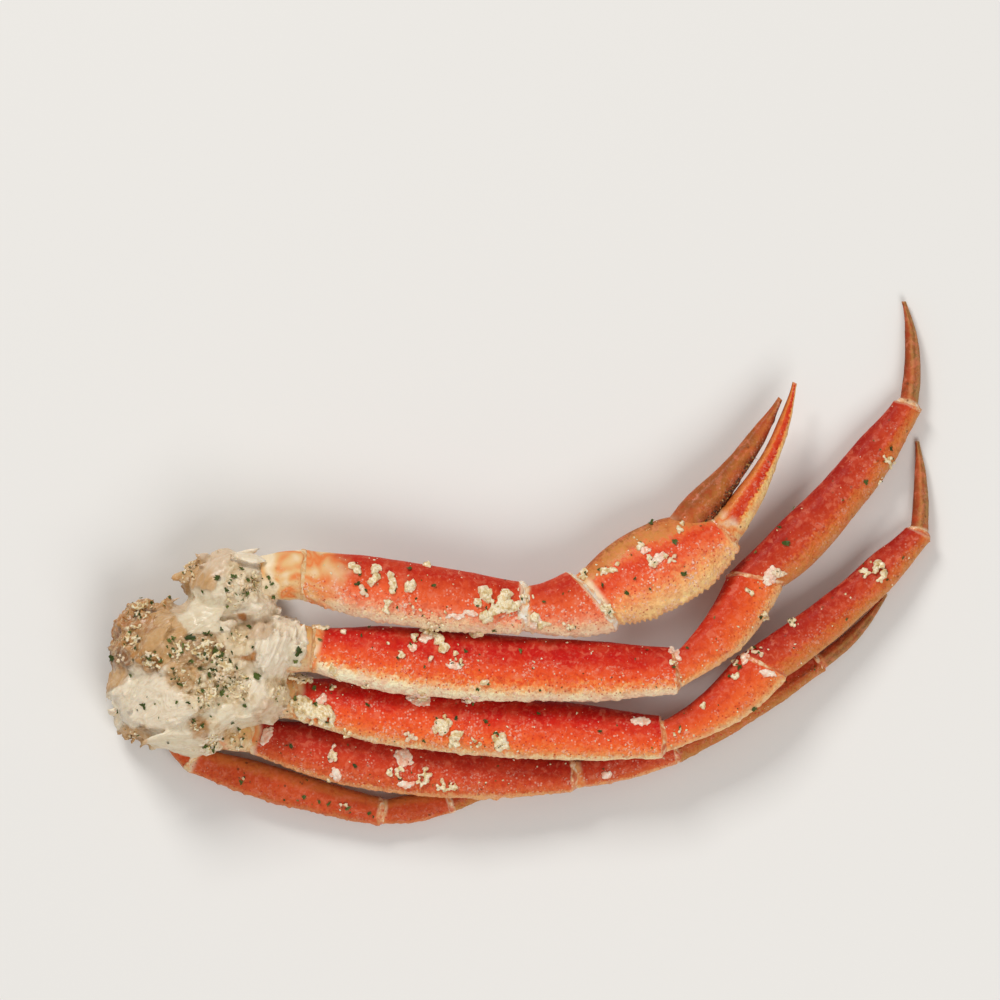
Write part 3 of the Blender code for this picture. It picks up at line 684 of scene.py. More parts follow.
# --- Shoulder -------------------------------------------------------------------------
# The torn piece of body that holds the limbs: smooth sheets of white muscle that overlap,
# with tan and grey-brown crumbly fields between them, each with its own direction of
# fibre. Lobes, sheets, strands, crumbs and torn tufts are welded into one skin.
RELIEF_VOXEL = 0.8  # fineness of the lobes
SKIN_VOXEL = 0.46   # and of the skin over all that lies on them
LOBE_RELIEF = 2.2   # how far the lobes' surface goes in and out
LOBE_INSET = 1.2    # and how far it is set back, to leave room for the sheets
CRAG_SIZE = 7.5     # width of its ups and downs
FIELD_EDGE = 4.5    # how sharply one field gives way to the next
# Middle and half lengths of each lobe.
LOBES = (
    ((-93.0, -38.5, 13.0), (20.0, 15.0, 17.0)),
    ((-106.2, -35.5, 9.0), (9.2, 12.5, 13.0)),
    ((-91.5, -24.5, 15.0), (22.0, 13.5, 19.0)),
    ((-105.0, -18.4, 11.5), (9.0, 8.2, 14.0)),
    ((-79.6, -6.2, 15.0), (13.8, 10.4, 17.5)),
    ((-88.4, -6.0, 11.5), (6.0, 7.0, 11.5)),
    ((-70.5, -23.5, 18.5), (13.5, 10.0, 13.0)),
    ((-73.5, -11.5, 17.0), (6.5, 7.6, 13.0)),
    ((-74.5, -36.5, 14.5), (12.0, 10.5, 14.5)),
    ((-89.5, -47.0, 8.5), (16.0, 7.0, 11.0)),
    ((-107.2, -43.4, 7.0), (6.8, 6.8, 9.0)),
    ((-98.0, -14.5, 12.0), (6.5, 5.0, 10.0)),
    ((-89.0, -3.2, 13.0), (4.6, 4.6, 8.0)),
    ((-111.6, -27.0, 9.5), (4.6, 6.5, 9.0)),
    ((-101.5, -45.5, 6.5), (7.5, 6.5, 8.0)),
)
BRIGHT = (0.82, 0.71, 0.54)
WHITE = (0.73, 0.63, 0.45)
PINK = (0.66, 0.49, 0.33)
CREAMY = (0.74, 0.59, 0.38)
CURD = (0.55, 0.31, 0.12)
TAN = (0.46, 0.20, 0.045)
AMBER = (0.42, 0.15, 0.025)
GREY = (0.40, 0.22, 0.09)
# The darkest brown, for one small field at the shoulder's left edge.
DARK_BROWN = (0.25, 0.10, 0.03)
# Fields of the meat: place in plan, radius, heading of the fibres, colour, and how deep the
# fibres and the crumbs stand.
FIELDS = (
    (-75.0, 2.0, 4.5, -10.0, BRIGHT, 0.20, 0.10), (-84.0, 0.5, 4.5, 60.0, PINK, 0.20, 0.0),
    (-91.5, -2.8, 4.0, 30.0, CURD, 0.20, 0.30), (-88.0, -5.0, 3.2, 45.0, CURD, 0.20, 0.0),
    (-79.5, -1.5, 3.5, 20.0, CREAMY, 0.10, 0.30), (-74.5, -6.5, 4.5, 20.0, CREAMY, 0.10, 0.70),
    (-80.5, -7.5, 4.0, 20.0, WHITE, 0.10, 0.40), (-70.0, -8.5, 4.0, 10.0, BRIGHT, 0.15, 0.20),
    (-88.0, -13.8, 6.5, 25.0, WHITE, 0.04, 0.0), (-94.0, -11.2, 2.8, 30.0, PINK, 0.10, 0.0),
    (-105.0, -12.0, 5.5, 30.0, TAN, 0.10, 0.90), (-110.5, -16.5, 3.4, 30.0, AMBER, 0.10, 0.70),
    (-104.5, -16.5, 3.2, 30.0, AMBER, 0.10, 0.50), (-107.3, -21.0, 4.2, 30.0, TAN, 0.10, 0.90),
    (-100.3, -15.3, 3.0, 40.0, CURD, 0.30, 0.10), (-101.5, -21.5, 4.6, 30.0, CURD, 0.35, 0.10),
    (-96.8, -19.3, 3.0, 30.0, CURD, 0.30, 0.10), (-111.8, -27.4, 2.6, 30.0, DARK_BROWN, 0.10, 0.50),
    (-94.8, -24.3, 3.6, 30.0, GREY, 0.10, 0.60), (-99.2, -25.4, 2.6, 30.0, CURD, 0.10, 0.30),
    (-102.8, -27.6, 3.2, 30.0, TAN, 0.10, 0.80), (-87.0, -24.3, 4.4, 20.0, GREY, 0.10, 0.90),
    (-82.0, -30.5, 5.5, 25.0, CREAMY, 0.10, 0.90), (-80.0, -36.0, 6.0, 25.0, CREAMY, 0.10, 0.50),
    (-79.0, -21.5, 3.4, 20.0, CREAMY, 0.10, 0.30), (-77.5, -15.3, 1.3, 25.0, AMBER, 0.10, 0.10),
    (-80.8, -16.6, 2.8, 25.0, BRIGHT, 0.20, 0.0), (-74.5, -13.0, 2.8, 25.0, BRIGHT, 0.20, 0.0),
    (-75.2, -26.3, 1.1, 80.0, AMBER, 0.10, 0.20), (-72.3, -18.5, 2.8, 85.0, PINK, 0.30, 0.0),
    (-67.5, -25.5, 6.0, 70.0, BRIGHT, 0.50, 0.0), (-62.5, -26.5, 3.5, 70.0, WHITE, 0.40, 0.0),
    (-74.5, -33.5, 4.5, 60.0, BRIGHT, 0.15, 0.0), (-67.0, -35.0, 4.0, 60.0, CREAMY, 0.20, 0.30),
    (-69.0, -42.0, 4.0, 40.0, PINK, 0.20, 0.30), (-80.0, -42.0, 6.5, 22.0, WHITE, 0.20, 0.10),
    (-90.0, -46.7, 2.8, 10.0, TAN, 0.10, 0.30), (-85.0, -45.8, 2.6, 10.0, CREAMY, 0.10, 0.50),
    (-85.8, -50.3, 3.0, 10.0, BRIGHT, 0.10, 0.90), (-79.0, -50.0, 4.2, 0.0, CURD, 0.10, 0.70),
    (-94.8, -50.0, 6.0, -12.0, WHITE, 0.25, 0.0), (-107.7, -49.2, 3.2, -40.0, CURD, 0.30, 0.40),
    (-102.5, -36.0, 7.0, 27.0, BRIGHT, 0.38, 0.0), (-109.0, -40.5, 5.0, 20.0, BRIGHT, 0.30, 0.0),
    (-97.0, -41.0, 6.5, 18.0, BRIGHT, 0.30, 0.0), (-112.5, -31.5, 3.2, 60.0, CURD, 0.10, 0.30),
    (-94.5, -32.5, 4.0, 25.0, CURD, 0.15, 0.60), (-89.0, -38.0, 4.5, 25.0, CREAMY, 0.10, 0.70),
)
# Sheets of muscle that overlap each other: place in plan, heading, length, width, thickness.
SHEETS = (
    (-88.0, -13.8, 25.0, 16.0, 10.0, 2.6), (-103.0, -35.0, 28.0, 22.0, 9.0, 2.8),
    (-98.0, -41.5, 18.0, 25.0, 9.0, 2.6), (-95.0, -49.3, -10.0, 20.0, 8.0, 2.6),
    (-102.0, -21.3, 30.0, 16.0, 4.2, 2.6), (-68.0, -25.5, 72.0, 13.0, 10.0, 2.4),
    (-84.0, -1.0, 60.0, 12.0, 6.0, 2.2), (-91.5, -3.0, 28.0, 9.0, 4.0, 1.8),
    (-75.5, 1.5, -12.0, 10.0, 5.0, 2.0), (-75.5, -13.2, 25.0, 10.0, 2.6, 1.8),
    (-80.8, -16.8, 28.0, 6.5, 2.2, 1.8), (-74.5, -34.0, 55.0, 9.0, 5.0, 2.2),
    (-81.0, -42.0, 22.0, 15.0, 6.0, 2.2), (-69.0, -42.0, 45.0, 7.0, 5.0, 2.2),
    (-72.5, -18.0, 85.0, 6.0, 3.0, 1.6), (-105.5, -11.5, 12.0, 9.0, 4.0, 2.2),
    (-97.0, -28.8, 22.0, 11.0, 3.4, 2.2), (-86.0, -33.0, 20.0, 8.0, 3.0, 1.6),
)


def evaluate(thing):
    """Keep what the modifiers make, inside the plain part's box, and drop them."""
    graph = bpy.context.evaluated_depsgraph_get()
    mesh = bpy.data.meshes.new_from_object(thing.evaluated_get(graph))
    thing.modifiers.clear()
    thing.data = mesh
    places = np.empty(len(mesh.vertices) * 3, np.float32)
    mesh.vertices.foreach_get("co", places)
    mesh.vertices.foreach_set("co", np.clip(places.reshape(-1, 3), *bare_size).ravel())


def weld(thing, material, voxel, rounds=0):
    """Make one skin of overlapping shapes, then round it off that many times."""
    remesh = thing.modifiers.new("Weld", "REMESH")
    remesh.mode = "VOXEL"
    remesh.voxel_size = voxel * MM
    if rounds:
        thing.modifiers.new("Round", "SMOOTH").iterations = rounds
    evaluate(thing)
    thing.data.materials.clear()
    thing.data.materials.append(material)
    thing.data.shade_smooth()


def read_points(mesh):
    """Places in millimetres and outward directions of a mesh's points."""
    places = np.empty(len(mesh.vertices) * 3, np.float32)
    mesh.vertices.foreach_get("co", places)
    outward = np.empty_like(places)
    mesh.vertex_normals.foreach_get("vector", outward)
    return places.reshape(-1, 3) / MM, outward.reshape(-1, 3).astype(float)


def write_points(mesh, points):
    mesh.vertices.foreach_set("co", (points * MM).ravel())
    mesh.update()


def levelled(mesh, points, rounds):
    """The points after each has moved, in rounds, to the mean of itself and its neighbours."""
    edges = np.empty(len(mesh.edges) * 2, np.int32)
    mesh.edges.foreach_get("vertices", edges)
    edges = edges.reshape(-1, 2)
    for _ in range(rounds):
        total, count = points.copy(), np.ones(len(points))
        for one, other in ((0, 1), (1, 0)):
            np.add.at(total, edges[:, one], points[edges[:, other]])
            np.add.at(count, edges[:, one], 1.0)
        points = total / count[:, None]
    return points


def ellipsoids(lobes, rings=16):
    """One mesh of overlapping ellipsoids: points and faces."""
    points, faces = [], []
    sides = 2 * rings
    for centre, half in lobes:
        first = len(points)
        for ring in range(rings + 1):
            fall = math.pi * ring / rings
            for corner in range(sides):
                turn = math.pi * corner / rings
                east, north = math.sin(fall) * math.cos(turn), math.sin(fall) * math.sin(turn)
                place = (east, north, math.cos(fall))
                points.append([c + h * p for c, h, p in zip(centre, half, place)])
        for ring in range(rings):
            here, there = first + ring * sides, first + (ring + 1) * sides
            for corner in range(sides):
                after = (corner + 1) % sides
                faces.append((here + corner, there + corner, there + after, here + after))
    return points, faces


meat = Paint("shoulder_meat")
strand_place = meat.field("strand", "Vector")
crumbly = meat.field("crumb")
thread = meat.noise(0.6, 3.0, 0.3, strand_place)
wide_thread = meat.noise(3.0, 2.0, 0.6, strand_place)
meat_colour = meat.field("tone", "Color")
# Painted shade: darker where the fine threads sink, in the grooves between the fibres.
meat_colour = meat.mix(meat.step(thread, 0.58, 0.36, 0.0, 0.28), meat_colour, (0.58, 0.40, 0.22))
meat_colour = meat.mix(meat.step(wide_thread, 0.50, 0.68, 0.0, 0.30), meat_colour, (0.82, 0.72, 0.55))
blot = meat.step(meat.noise(1.8, 4.0, 0.5), 0.50, 0.62)
blot = meat.times(blot, meat.plus(0.10, crumbly, 0.70))
meat_colour = meat.mix(blot, meat_colour, (0.46, 0.24, 0.07))
curd = meat.step(meat.noise(1.1, 3.0, 0.3), 0.54, 0.62)
curd = meat.times(curd, meat.times(crumbly, 0.65))
meat_colour = meat.mix(curd, meat_colour, (0.74, 0.62, 0.38))
meat_height = meat.plus(meat.times(meat.noise(0.7, 3.0), 0.5), thread, 1.0)
meat_material = meat.finish(
    meat_colour, meat_height, 0.24, Roughness=0.40, Coat_Weight=0.22, Coat_Roughness=0.16,
    Subsurface_Weight=0.20, Subsurface_Scale=0.0009, Subsurface_Radius=(1.0, 0.6, 0.35))
lobe_points, lobe_faces = ellipsoids(LOBES)
shoulder = add_piece("shoulder_meat", lobe_points, lobe_faces, meat_material, None,
                     "shoulder")
weld(shoulder, meat_material, RELIEF_VOXEL)
points, outward = read_points(shoulder.data)
crag = np.array([noise.noise(Vector(point / CRAG_SIZE)) for point in points])
points += outward * (LOBE_RELIEF * crag - LOBE_INSET)[:, None]
write_points(shoulder.data, points)
points, outward = read_points(shoulder.data)

FLAKES = 900         # tries at laying a strand or a crumb somewhere on the upper side
TUFT_STRANDS = 3
NEAREST = 60         # points of the surface that a sheet takes its level from
HEADING_STRAY = 9.0  # degrees by which a flake strays from the fibres of its field
# Torn tufts that stand out at the edge: place, heading, rise, length and width.
TUFTS = (
    ((-91.5, -3.6, 14.0), 200.0, 6.0, 5.4, 1.8), ((-85.5, 1.6, 15.0), 186.0, 6.0, 7.5, 2.4),
    ((-79.0, 3.0, 15.5), 10.0, 4.0, 9.5, 2.0), ((-109.8, -41.3, 7.5), 175.0, 2.0, 3.6, 2.2),
    ((-107.0, -47.5, 6.5), 250.0, -5.0, 3.4, 1.0), ((-105.2, -48.8, 6.0), 265.0, -5.0, 3.4, 0.9),
    ((-109.0, -46.5, 6.5), 235.0, 0.0, 3.0, 1.0), ((-103.0, -50.2, 6.0), 280.0, -5.0, 2.8, 0.9),
    ((-66.8, -14.0, 20.0), 70.0, 15.0, 4.4, 1.0), ((-69.0, -13.0, 20.0), 100.0, 12.0, 4.6, 1.4),
    ((-65.0, -26.5, 25.0), -12.0, 0.0, 6.0, 2.2), ((-94.0, -9.8, 14.0), 120.0, 10.0, 2.0, 0.8),
    ((-96.2, -11.0, 14.0), 95.0, 10.0, 1.8, 0.8), ((-108.3, -11.5, 13.0), 150.0, 5.0, 2.8, 1.4),
    ((-112.0, -24.5, 12.0), 150.0, 5.0, 2.4, 1.2), ((-112.6, -29.5, 12.0), 200.0, 0.0, 2.2, 1.2),
    ((-110.5, -45.0, 5.5), 215.0, 0.0, 3.0, 1.1), ((-108.0, -48.5, 5.0), 240.0, 0.0, 3.2, 1.2),
    ((-105.5, -50.5, 5.0), 250.0, 0.0, 3.0, 1.3), ((-101.5, -51.5, 5.0), 262.0, 0.0, 2.6, 1.3),
    ((-103.5, -11.0, 12.0), 105.0, 5.0, 3.4, 1.6), ((-98.5, -10.5, 12.0), 80.0, 5.0, 3.0, 1.6),
    ((-89.0, 2.0, 13.0), 130.0, 5.0, 4.0, 1.6), ((-114.0, -22.5, 11.0), 170.0, 0.0, 2.6, 1.2),
    ((-71.5, -40.0, 19.0), -30.0, 5.0, 5.0, 2.6), ((-70.5, -16.0, 22.0), 15.0, 5.0, 5.0, 1.1),
    ((-69.5, -18.0, 22.5), -5.0, 5.0, 4.6, 0.9), ((-90.0, -52.5, 5.0), 265.0, 0.0, 3.0, 2.4),
)
plan = np.array([field[:4] for field in FIELDS])
flakes = np.random.default_rng(23)
ball, ball_faces = ellipsoids((((0.0, 0.0, 0.0), (1.0, 1.0, 1.0)),), 10)
ball, ball_faces = np.array(ball), np.array(ball_faces)
parts = [points]


def lay(place, forward, up, length, width, thick, seed, ragged=0.22):
    """One flake: a stretched ball, pointed at its ends and ragged."""
    sideways = np.cross(up, forward)
    body = ball.copy()
    body[:, 1:] *= (1.0 - 0.55 * np.abs(ball[:, :1]) ** 2.0)
    body = body * (length / 2.0, width / 2.0, thick / 2.0)
    body[:, 1] += 0.18 * length * (body[:, 0] / length) ** 2 * math.sin(seed)
    body *= 1.0 + ragged * rough(body + seed * 3.0, 1.8, 41)[:, None]
    parts.append(place + body[:, :1] * forward + body[:, 1:2] * sideways + body[:, 2:] * up)


def run_over(up, heading, rise=0.0):
    """The direction over a face that comes nearest to this heading."""
    turn = math.radians(heading)
    return unit(np.cross(up, np.cross((math.cos(turn), math.sin(turn), rise), up)))


over = np.flatnonzero(outward[:, 2] > 0.4)
for number, (x, y, heading, length, width, thick) in enumerate(SHEETS):
    close = over[np.argsort(np.linalg.norm(points[over, :2] - (x, y), axis=1))[:NEAREST]]
    up = unit(outward[close].mean(axis=0))
    place = np.array((x, y, points[close, 2].mean())) + up * 0.1
    lay(place, run_over(up, heading), up, length, width, thick, number, 0.14)
upper = np.flatnonzero((outward[:, 2] > -0.3) & (points[:, 2] > 3.0))
for number in range(FLAKES):
    at = flakes.choice(upper)
    place, up = points[at], unit(outward[at] + 0.2 * flakes.normal(size=3))
    apart = plan[:, :2] - place[:2] - 0.8 * flakes.normal(size=2)
    near = (np.linalg.norm(apart, axis=1) / plan[:, 2]).argmin()
    heading, _, fibres, crumbs = FIELDS[near][3:]
    forward = run_over(up, heading + flakes.normal() * HEADING_STRAY, 0.12 * flakes.normal())
    if flakes.random() < crumbs:
        size = flakes.uniform(0.8, 2.4)
        lay(place, forward, up, size * 1.3, size, size * 0.8, number)
    elif flakes.random() < 2.2 * fibres:
        length, width = flakes.uniform(4.0, 10.0), flakes.uniform(0.6, 1.3)
        lay(place + up * 0.1, forward, up, length, width, flakes.uniform(0.6, 1.1), number, 0.1)
for number, (place, heading, rise, length, width) in enumerate(TUFTS):
    turn, lean = math.radians(heading), math.radians(rise)
    flat = math.cos(lean)
    forward = np.array((math.cos(turn) * flat, math.sin(turn) * flat, math.sin(lean)))
    up = unit(np.cross(forward, np.cross((0.0, 0.0, 1.0), forward)))
    place = points[np.linalg.norm(points - place, axis=1).argmin()]
    for _ in range(TUFT_STRANDS):
        bent = unit(forward + 0.16 * flakes.normal(size=3))
        lay(place + 0.3 * flakes.normal(size=3) + bent * length * 0.3, bent, up,
            length * flakes.uniform(0.7, 1.0), width * flakes.uniform(0.5, 0.9), 1.2, number)
faces = [np.array([face.vertices[:] for face in shoulder.data.polygons])]
faces += [ball_faces + len(points) + len(ball) * number for number in range(len(parts) - 1)]
mesh = bpy.data.meshes.new("shoulder_meat")
mesh.from_pydata((np.concatenate(parts) * MM).tolist(), [], np.concatenate(faces).tolist())
shoulder.data = mesh
weld(shoulder, meat_material, SKIN_VOXEL, 1)

# Every point of the skin belongs a little to each field, and mostly to the nearest.
points, outward = read_points(shoulder.data)
wobble = np.stack((rough(points, 4.0, 11), rough(points, 4.0, 12)), -1) * 1.3
wobble += rough(points, 1.4, 10)[:, None] * 0.6
apart = (points[:, :2] + wobble)[:, None, :] - plan[None, :, :2]
share = np.exp(-FIELD_EDGE * (np.linalg.norm(apart, axis=-1) / plan[:, 2]) ** 2) + 1e-12
share /= share.sum(axis=1, keepdims=True)
tone, fibre_depth, crumb_depth = (share @ np.array(values) for values in list(zip(*FIELDS))[4:])
# Each field measures along and across its own fibres, and neighbours run into each other.
# Lengthwise the measure is squeezed, so that ridges and threads are drawn out.
turn = np.radians(plan[:, 3])
from_field = points[:, None, :2] - plan[None, :, :2]
lengthwise = (from_field * np.stack((np.cos(turn), np.sin(turn)), -1)).sum(axis=-1)
crosswise = (from_field * np.stack((-np.sin(turn), np.cos(turn)), -1)).sum(axis=-1)
strand = np.stack(((share * lengthwise).sum(axis=1) * 0.08, (share * crosswise).sum(axis=1),
                   points[:, 2] * 0.7), -1)
ridges = 1.0 - 2.0 * np.abs(rough(strand, 1.3, 13))
relief = fibre_depth * (0.45 * ridges + 0.35 * rough(strand, 3.0, 14))
crumbs = 0.9 * np.maximum(rough(points, 1.7, 15), -0.3) + 0.45 * rough(points, 0.9, 16)
relief += crumb_depth * crumbs + 0.12 * rough(points, 3.0, 17)
relief -= (0.15 + crumb_depth) * step(0.25, 0.75, rough(points * (1.0, 1.0, 0.6), 3.6, 18))
points += outward * relief[:, None]
points[:, 2] = np.maximum(points[:, 2], 0.0)
points[:, 0] = np.maximum(points[:, 0], bare_size[0][0] / MM)
write_points(shoulder.data, points)
# Painted shade darkens and browns the hollows and the lower edge, and painted light makes
# what stands out a little brighter.
depth = ((levelled(shoulder.data, points, 6) - points) * outward).sum(axis=1)
hollow_shade = step(0.02, 0.45, depth)
low = step(12.0, 2.0, points[:, 2])
shade = (1.0 - 0.42 * hollow_shade) * (1.0 - 0.25 * low) * (1.0 + 0.08 * step(-0.02, -0.3, depth))
tone = tone * shade[:, None] ** np.array((1.0, 1.35, 2.1))
store(shoulder.data, "tone", np.concatenate((tone, np.ones((len(tone), 1))), axis=1))
store(shoulder.data, "strand", strand)
store(shoulder.data, "crumb", crumb_depth)

# --- Garlic ---------------------------------------------------------------------------
# Minced garlic set in butter, which sticks it down: knobbly heaps of chopped grains on the
# segments and on the shoulder, and fine crumbs strewn over the limbs. The grains have
# unlike shapes, and those in a heap run into each other.
SHELLS = {shell.name: shell for limb in (ARM, LEG1, LEG2, LEG3, LEG4) for shell in limb.values()}
# Heaps: along the segment, across it (1 is its right-hand edge), grains, spread and size of
# the grains.
HEAPS = {
    "claw_merus": (
        (0.225, -0.32, 7, 1.3, 1.05), (0.315, -0.36, 7, 1.5, 1.00), (0.315, -0.08, 7, 1.5, 1.00),
        (0.282, 0.28, 5, 1.3, 0.80), (0.392, -0.24, 4, 1.0, 0.90), (0.408, 0.07, 6, 1.3, 0.95),
        (0.392, 0.45, 4, 0.9, 0.80), (0.395, 0.70, 4, 0.9, 0.85), (0.480, -0.02, 6, 1.4, 1.00),
        (0.55, -0.90, 5, 1.2, 0.90), (0.52, 0.62, 7, 4.0, 0.55), (0.62, 0.70, 8, 4.0, 0.55),
        (0.825, -0.12, 7, 1.8, 1.25), (0.905, -0.18, 7, 1.8, 1.30), (0.945, 0.16, 7, 1.8, 1.25),
        (0.875, 0.18, 9, 2.4, 1.30), (0.790, 0.14, 5, 1.2, 1.00), (0.840, 0.55, 6, 1.5, 1.10)),
    "claw_carpus": (
        (0.16, 0.45, 6, 1.3, 0.95), (0.27, 0.72, 6, 1.3, 0.90), (0.55, 0.70, 6, 1.6, 0.6),
        (0.05, -0.3, 7, 2.0, 0.55)),
    "claw_hand": (
        (0.17, -0.42, 7, 1.5, 0.70), (0.23, -0.30, 5, 1.3, 0.65), (0.06, -0.75, 9, 1.8, 0.75),
        (0.457, -0.42, 4, 1.0, 0.7), (0.464, 0.00, 8, 1.8, 0.65), (0.58, 0.07, 7, 1.6, 0.65),
        (0.75, -0.40, 4, 1.0, 0.8), (0.79, -0.55, 2, 0.8, 0.7), (0.02, 0.55, 12, 2.4, 0.65)),
    "leg1_merus": (
        (0.077, -0.60, 3, 0.7, 0.80), (0.309, -0.72, 6, 1.4, 1.05), (0.345, -0.47, 7, 1.5, 1.10),
        (0.358, -0.20, 6, 1.3, 1.05), (0.275, -0.43, 4, 1.1, 0.90), (0.265, -0.20, 3, 0.7, 0.60),
        (0.322, 0.08, 2, 0.5, 0.85), (0.244, 0.05, 5, 1.3, 0.60), (0.390, 0.02, 5, 1.5, 0.65),
        (0.410, 0.10, 4, 1.2, 0.60), (0.203, -0.22, 2, 0.4, 0.55), (0.571, -0.30, 1, 0.2, 0.50),
        (0.607, 0.14, 1, 0.2, 0.60), (0.477, 0.62, 5, 1.2, 0.80), (0.066, 0.85, 5, 1.2, 0.85),
        (0.449, -0.78, 8, 1.6, 0.90), (0.157, 1.0, 4, 1.4, 0.55), (0.99, -0.1, 8, 1.8, 0.45),
        (0.02, -0.90, 14, 2.2, 0.70)),
    "leg1_carpus": ((0.86, 0.00, 3, 1.0, 0.70), (0.75, 0.92, 7, 1.4, 0.70)),
    "leg1_propodus": (
        (0.07, 0.40, 6, 1.8, 0.85), (0.755, 0.60, 7, 1.8, 0.60), (0.745, 1.0, 5, 1.6, 0.60),
        (0.66, 1.0, 5, 1.6, 0.60)),
    "leg2_merus": (
        (0.03, 0.55, 50, 4.4, 0.85), (0.09, 0.60, 30, 3.4, 0.95), (0.01, -0.75, 40, 3.4, 0.75),
        (0.34, -0.40, 8, 1.7, 0.75), (0.47, -0.48, 6, 1.5, 0.65), (0.325, 0.75, 7, 1.7, 0.70),
        (0.405, 0.35, 26, 2.6, 0.90), (0.445, 0.68, 12, 2.1, 0.80), (0.566, 0.62, 22, 2.7, 0.75),
        (0.16, 1.0, 7, 1.6, 0.6), (0.50, 0.75, 8, 2.4, 0.60), (0.10, -0.40, 5, 1.4, 0.55)),
    "leg2_carpus": (
        (0.90, -0.70, 6, 1.5, 0.60), (0.78, -0.40, 5, 1.4, 0.70), (0.41, -0.28, 3, 0.8, 0.80),
        (0.93, -1.0, 4, 1.0, 0.70), (0.12, 0.1, 4, 1.6, 0.5)),
    "leg2_propodus": (
        (0.72, 0.00, 18, 2.6, 0.80), (0.67, -0.45, 7, 1.6, 0.70), (0.24, -0.75, 8, 1.5, 0.65),
        (0.05, -0.55, 8, 2.0, 0.60)),
    "leg3_merus": (
        (0.254, 0.20, 7, 1.6, 0.70), (0.26, 1.0, 5, 1.5, 0.60), (0.46, 0.40, 10, 2.4, 0.70),
        (0.54, 0.45, 12, 2.4, 0.70), (0.595, 0.72, 8, 1.9, 0.65), (0.63, 0.68, 6, 1.7, 0.6)),
    "leg4_merus": ((0.27, 0.30, 3, 1.0, 0.5), (0.80, 0.25, 4, 2.4, 0.5)),
}
# On the shoulder: place in plan, grains, spread, size.
MEAT_HEAPS = (
    (-86.5, -24.5, 60, 4.4, 0.75), (-82.0, -30.5, 90, 5.0, 0.80), (-87.0, -36.5, 60, 5.0, 0.60),
    (-78.5, -34.5, 40, 4.4, 0.65), (-94.5, -31.5, 30, 3.4, 0.50), (-98.0, -41.0, 14, 7.0, 0.35),
    (-105.5, -12.0, 44, 4.0, 0.70), (-108.0, -20.5, 40, 3.8, 0.70), (-102.5, -27.0, 36, 3.2, 0.70),
    (-95.0, -24.0, 36, 3.2, 0.70), (-111.5, -26.5, 12, 1.6, 0.70), (-79.0, -7.5, 44, 4.2, 0.60),
    (-74.0, -6.0, 40, 4.0, 0.65), (-92.0, -2.5, 24, 3.0, 0.60), (-90.0, -46.0, 14, 2.4, 0.60),
    (-85.5, -50.3, 30, 2.4, 0.70), (-79.0, -49.5, 20, 3.0, 0.80), (-107.5, -48.0, 12, 2.0, 0.55),
    (-67.0, -36.0, 14, 2.8, 0.70), (-78.5, -20.5, 14, 2.4, 0.60),
)
MIN_FACING = 0.12  # nothing lies on a face steeper than this
ABOVE = 60.0       # higher than anything in the cluster
GRAIN_VOXEL = 0.22
CHIP_CORNERS = 15
draw = np.random.default_rng(11)


def top_surface():
    """Everything finished so far as one surface, in millimetres."""
    corners, sides = [], []
    for thing in bpy.context.scene.collection.objects:
        if thing.name.endswith(("_shell", "_joint", "_meat")):
            start = len(corners)
            corners.extend(point.co / MM for point in thing.data.vertices)
            sides.extend([start + index for index in face.vertices] for face in thing.data.polygons)
    return BVHTree.FromPolygons(corners, sides)


surface = top_surface()


def on_top(x, y):
    """The uppermost surface at places in plan, where there is any: places and facings."""
    places, outward = [], []
    for east, north in zip(np.atleast_1d(x), np.atleast_1d(y)):
        place, facing = surface.ray_cast(Vector((east, north, ABOVE)), Vector((0.0, 0.0, -1.0)))[:2]
        if place is not None and facing.z > MIN_FACING:
            places.append(place)
            outward.append(facing)
    return np.array(places).reshape(-1, 3), np.array(outward).reshape(-1, 3)


def on_shell(shell, along, across):
    """The uppermost surface over places on a segment's upper face."""
    across = np.asarray(across, float)
    over_edge = np.maximum(np.abs(across) - 1.0, 0.0)
    angle = np.arccos(np.clip(across, -1.0, 1.0)) - np.sign(across) * (over_edge * 1.6)
    return on_top(*shell.skin(along, angle)[..., :2].T)


def heap(count, spread):
    """Offsets in a rounded heap: two sideways, and the height as a share of its top."""
    bearing = draw.uniform(0.0, math.tau, count)
    radius = np.sqrt(draw.random(count))
    radius *= 0.85 + 0.25 * np.sin(bearing * 2.0 + draw.uniform(0.0, 6.0))
    height = draw.random(count) * np.clip(1.0 - radius ** 2, 0.0, 1.0)
    return spread * radius * np.cos(bearing), spread * radius * np.sin(bearing), height


def limb_heaps(share, wider=1.0):
    """In turn for each heap on a limb: places, facings, heights, spread and size."""
    for name, heaps in HEAPS.items():
        shell = SHELLS[name]
        half = float(shell.half_width(0.5))
        for along, across, count, spread, size in heaps:
            run, side, height = heap(max(1, int(count * share)), spread * wider)
            place, facing = on_shell(shell, along + run / shell.length, across + side / half)
            yield place, facing, height[:len(place)], spread, size


def meat_heaps(share, wider=1.0):
    """In turn for each heap on the shoulder: places, facings, heights and size."""
    for x, y, count, spread, size in MEAT_HEAPS:
        run, side, height = heap(int(count * share), spread * wider)
        place, facing = on_top(x + run, y + side)
        yield place, facing, height[:len(place)], size


class Litter:
    """Loose bits on the surface, gathered to be strewn as one mesh."""

    def __init__(self):
        self.places, self.outward, self.sizes = [], [], []

    def add(self, place, facing, lift, size):
        self.places.append(place + facing * np.asarray(lift)[..., None])
        self.outward.append(facing)
        self.sizes.append(np.broadcast_to(size, len(place)))

    def strew(self, name):
        """A mesh of loose points that a scatter turns into grains."""
        places = np.concatenate(self.places)
        mesh = bpy.data.meshes.new(name)
        mesh.from_pydata((places * MM).tolist(), [], [])
        store(mesh, "outward", np.concatenate(self.outward))
        store(mesh, "size", np.concatenate(self.sizes) * MM)
        store(mesh, "chance", draw.random(len(places)))
        thing = bpy.data.objects.new(name, mesh)
        bpy.context.scene.collection.objects.link(thing)
        return thing


